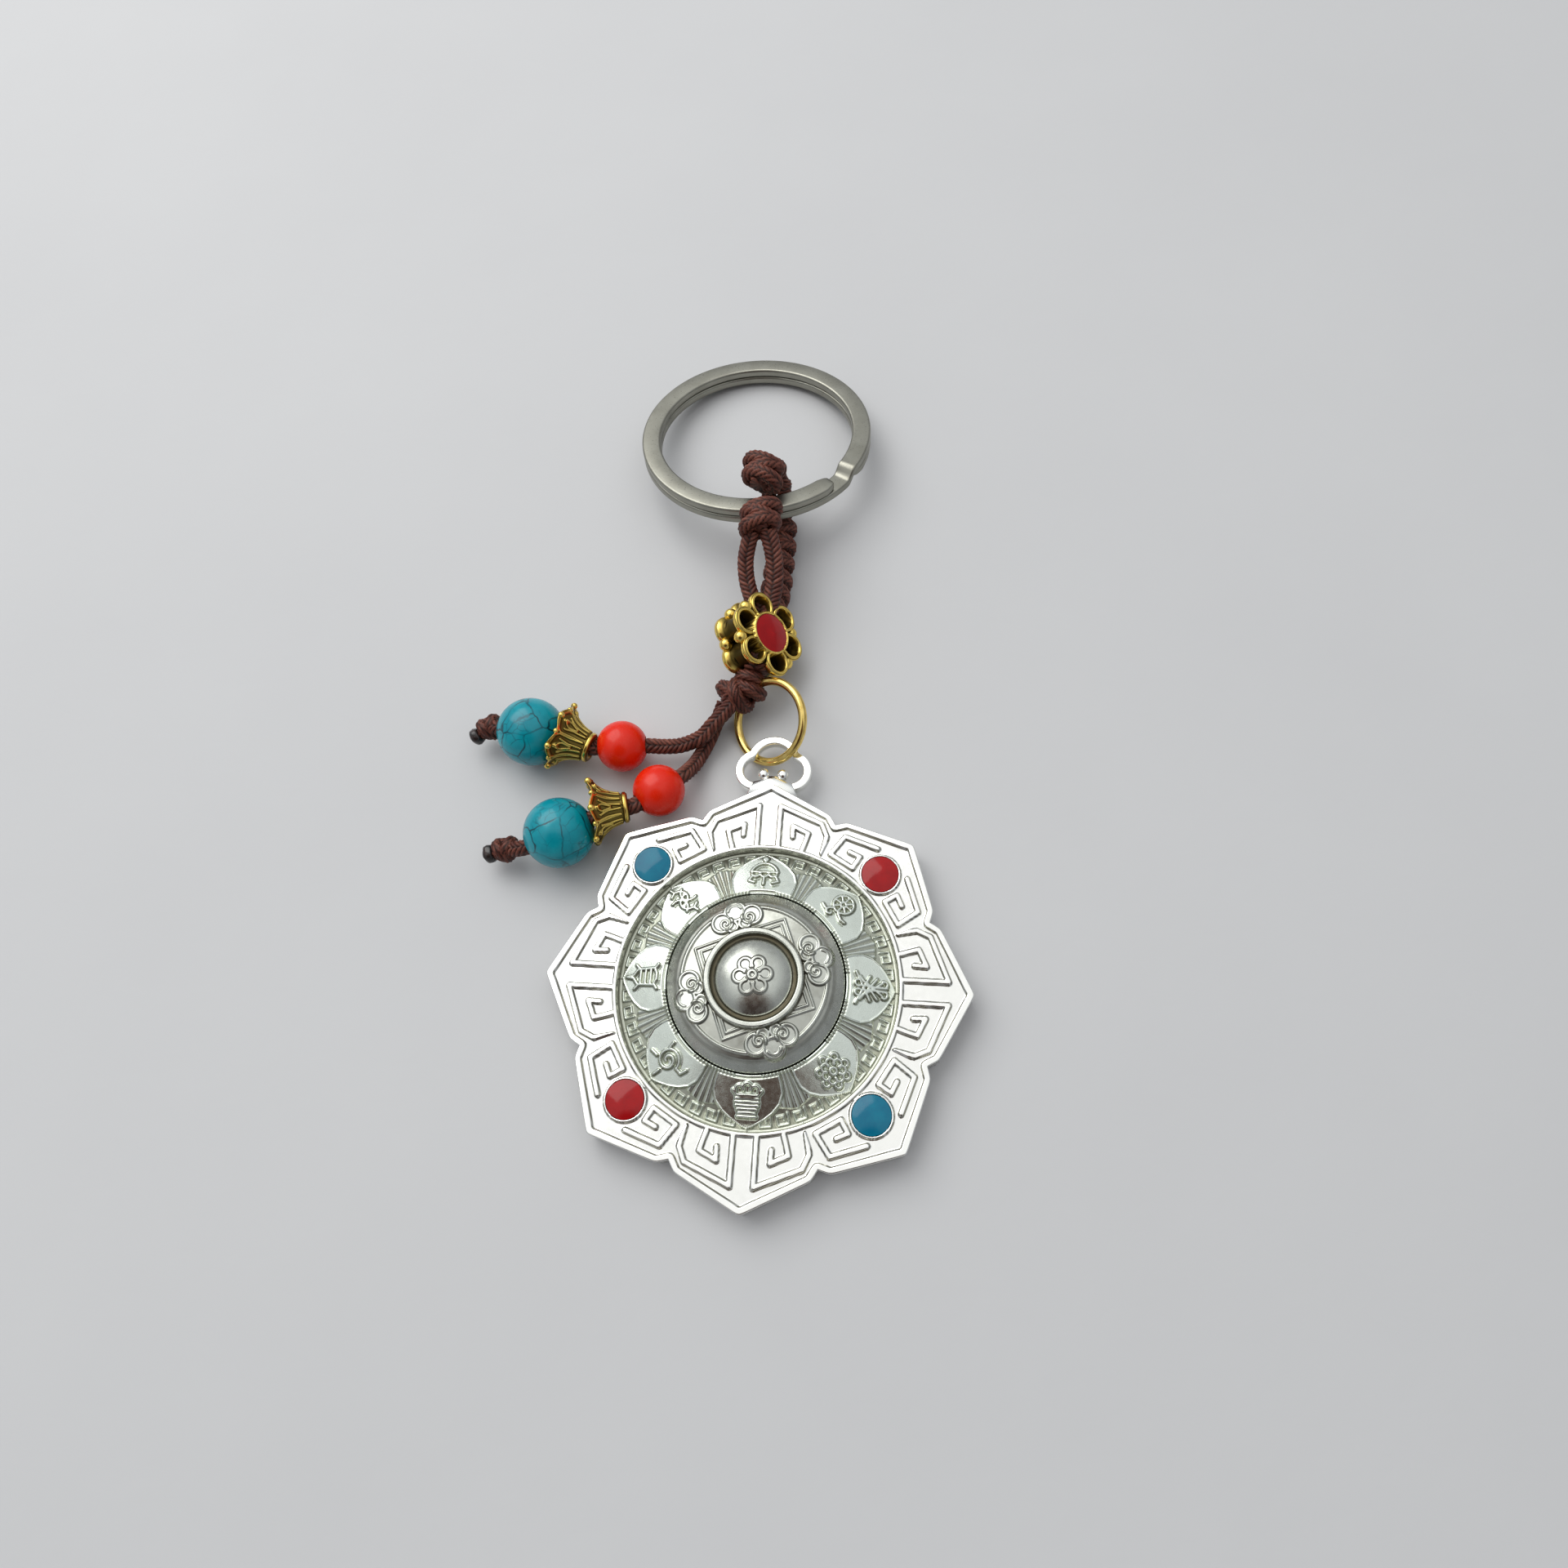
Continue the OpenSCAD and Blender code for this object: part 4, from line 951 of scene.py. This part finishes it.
def bead_cap(name, at, direction, body, node):
    """A flared cap with six scallops, ribs, drops and a beaded rim."""
    d = Vector(direction).normalized()
    matrix = Matrix.Translation(at) @ Vector((0, 0, 1)).rotation_difference(d).to_matrix().to_4x4()
    a = np.linspace(0, 2 * math.pi, 300, endpoint=False)
    la = a * SCALLOPS / (2 * math.pi)
    la = (la - np.round(la)) * 2  # -1 to 1 across one scallop
    rows, darks = [], []
    for t in np.linspace(0, 1, 56):
        z = CUP_LEN * t * (1 - 0.06 * (1 - np.cos(math.pi * la)) * t ** 2)
        r = 1.66 + 0.3 * t + 1.95 * t ** 2.6 + 0.12 * np.cos(math.pi * la) * t ** 1.5
        x, y = la * (0.75 + 1.05 * t), np.full_like(la, CUP_LEN * t)
        s = np.abs(x)
        lines = [[(0.95, 0.9), (1.2, 2.4), (1.55, 3.7), (1.35, 4.05)], [(0.22, 0.9), (0.42, 2.3), (0.9, 3.3)],
                 arc(0, 2.9, 0.42, 0, 180, 8), [(0.42, 2.9), (0.12, 2.0)]]
        raised = bar(line_distance(s, y, lines), 0.27, 0.16)
        drop = np.clip(1 - (np.hypot(x, y - 3.45) / 0.34) ** 2, 0, 1)
        band = bar(np.abs(y - 0.35), 0.5, 0.25) + bar(np.abs(y - 4.12), 0.36, 0.2)
        raised = np.clip(np.maximum(raised, band), 0, 1)
        rows.append((r - 0.15 + 0.27 * raised + 0.3 * np.sqrt(drop), z))
        # painted shade on the walls of the ribs and on the ground between them, less on the drops
        darks.append(np.clip(4 * raised * (1 - raised) * 0.5 + 0.75 * (1 - np.maximum(raised, drop * 1.5)), 0,
                             1))
    # the inside of the cup and its neck, painted in shade
    for t in np.linspace(1, 0.18, 18):
        z = CUP_LEN * t * (1 - 0.06 * (1 - np.cos(math.pi * la)) * t ** 2)
        rows.append((1.24 + 0.25 * t + 1.9 * t ** 2.6 + 0.12 * np.cos(math.pi * la) * t ** 1.5, z - 0.02))
        darks.append(np.full_like(a, 0.7))
    rows.append((np.full_like(a, 1.15), np.full_like(a, 0.6)))
    rows.append((np.full_like(a, 1.12), np.full_like(a, 0.03)))
    darks += [np.full_like(a, 0.7), np.full_like(a, 0.4)]
    p = np.array([np.stack([r * np.cos(a), r * np.sin(a), z], -1) for r, z in rows])
    shape = Shape().add(p, closed=True, cavity=np.array(darks))
    for i in range(SCALLOPS):
        c = math.radians(60 * i)
        ball(shape, (3.84 * math.cos(c), 3.84 * math.sin(c), 4.06), 0.4, 1.0, 16)
        c += math.radians(30)
        ball(shape, (3.5 * math.cos(c), 3.5 * math.sin(c), 3.84), 0.32, 1.0, 14)
    return shape.piece(name, GOLD_OLD, body, "gold_antique", [node], matrix)


bead_cap("upper_cap_casting", (-21.4, 26.4, 3.8), (-3.9, 1.3, 0.6), "upper_cap", "upper_bead_cap")
bead_cap("lower_cap_casting", (-16.2, 19.3, 3.8), (-3.8, -1, 0.6), "lower_cap", "lower_bead_cap")

# ---------------------------------------------------------------- the split ring

RING_R, WIRE_W, WIRE_H, WIRE_ROUND, COIL_GAP = 13.8, 2.4, 1.06, 0.3, 1.12
CROSSING = (387, 393.5)  # degrees round the wire where the upper coil steps down to the lower
turns = np.linspace(-42, -745, 620)
drop = step_up(*CROSSING, -turns)
height = COIL_GAP / 2 - COIL_GAP * drop
wire_section = []
for sx, sy, a0 in ((1, 1, 0), (-1, 1, 90), (-1, -1, 180), (1, -1, 270)):
    wire_section += arc(sx * (WIRE_W / 2 - WIRE_ROUND), sy * (WIRE_H / 2 - WIRE_ROUND), WIRE_ROUND, a0,
                        a0 + 90, 6)
wire_section = np.array(wire_section)
a = np.radians(turns)
rows = []
for i, (ai, h) in enumerate(zip(a, height)):
    ends = min(i, len(a) - 1 - i) / 5
    squeeze = min(1.0, 0.55 + 0.45 * math.sqrt(min(1.0, ends)))
    radial = RING_R + wire_section[:, 0] * squeeze
    rows.append(np.stack([radial * math.cos(ai), radial * math.sin(ai),
                          h + wire_section[:, 1] * (0.6 + 0.4 * squeeze)], -1))
ring_matrix = Matrix.Translation(RING_AT.tolist()) @ Matrix.Rotation(RING_TILT, 4, "X")
Shape().add(np.array(rows), caps=(True, True)).piece("key_ring_coils", NICKEL, "key_ring", "nickel",
                                                     ["split_ring"], ring_matrix)

# ---------------------------------------------------------------- materials on the CAD pieces that stay

for names, material in ((("teal_enamel",), TEAL), (("red_enamel", "flower_enamel_front",
                                                    "flower_enamel_back"), RED),
                        (("axle_rivet", "retaining_washer"), STEEL), (("thrust_washer", "jump_ring"),
                                                                      GOLD_WIRE),
                        (("upper_coral_bead", "lower_coral_bead"), CORAL),
                        (("upper_turquoise_bead", "lower_turquoise_bead"), TURQUOISE)):
    for name in names:
        mesh = NODES[name].data
        mesh.materials.clear()
        mesh.materials.append(material)

for side, tail in tails.items():
    piece, path, length = tail

# ---------------------------------------------------------------- floor and light

floor_mesh = bpy.data.meshes.new("floor")
FLOOR_HALF, FLOOR_GAP = 1.2, 0.00005  # metres
floor_mesh.from_pydata([(x * FLOOR_HALF, y * FLOOR_HALF, 0) for x, y in ((-1, -1), (1, -1), (1, 1), (-1, 1))],
                       [], [(0, 1, 2, 3)])
floor_mesh.materials.append(PAPER)
floor = bpy.data.objects.new("floor", floor_mesh)
scene.collection.objects.link(floor)
floor.location.z = -FLOOR_GAP

world = bpy.data.worlds.new("studio")
scene.world = world
world.use_nodes = True
wt = world.node_tree
background = wt.nodes["Background"]
coord = wt.nodes.new("ShaderNodeTexCoord")


def glow(direction, stops):
    """A colour by the angle from a direction: stops are (cosine, colour)."""
    dot = wt.nodes.new("ShaderNodeVectorMath")
    dot.operation = "DOT_PRODUCT"
    dot.inputs[1].default_value = Vector(direction).normalized()
    wt.links.new(coord.outputs["Generated"], dot.inputs[0])
    ramp = wt.nodes.new("ShaderNodeValToRGB")
    while len(ramp.color_ramp.elements) < len(stops):
        ramp.color_ramp.elements.new(0.5)
    for e, (at, c) in zip(ramp.color_ramp.elements, stops):
        e.position, e.color = at, (*c, 1)
    wt.links.new(dot.outputs["Value"], ramp.inputs["Fac"])
    return ramp.outputs["Color"]


overhead = glow((-0.1, 0.2, 0.97), ((0.0, (0.3, 0.31, 0.33)), (0.5, (0.42, 0.43, 0.45)),
                                    (0.78, (0.95, 0.97, 0.98)),
                                    (1.0, (1.0, 1.0, 1.0))))
viewer = glow((0.0, -0.68, 0.73), ((0.0, (1, 1, 1)), (0.85, (1, 1, 1)), (0.925, (0.14, 0.08, 0.06)),
                                   (1.0, (0.1, 0.06, 0.05))))
sky = wt.nodes.new("ShaderNodeMix")
sky.data_type, sky.blend_type = "RGBA", "MULTIPLY"
sky.inputs[0].default_value = 1.0
wt.links.new(overhead, sky.inputs[6])
wt.links.new(viewer, sky.inputs[7])
wt.links.new(sky.outputs[2], background.inputs["Color"])
background.inputs["Strength"].default_value = 1.0


def softbox(name, at, target, size, power, color):
    """A square area light, placed and sized in metres."""
    light = bpy.data.lights.new(name, "AREA")
    light.size, light.energy, light.color = size, power, color
    obj = bpy.data.objects.new(name, light)
    scene.collection.objects.link(obj)
    obj.location = at
    obj.rotation_mode = "QUATERNION"
    obj.rotation_quaternion = (Vector(target) - Vector(at)).to_track_quat("-Z", "Y")


softbox("key", (-0.25, 0.28, 0.44), (0, 0.03, 0), 0.48, 1.75, (1.0, 0.99, 0.97))
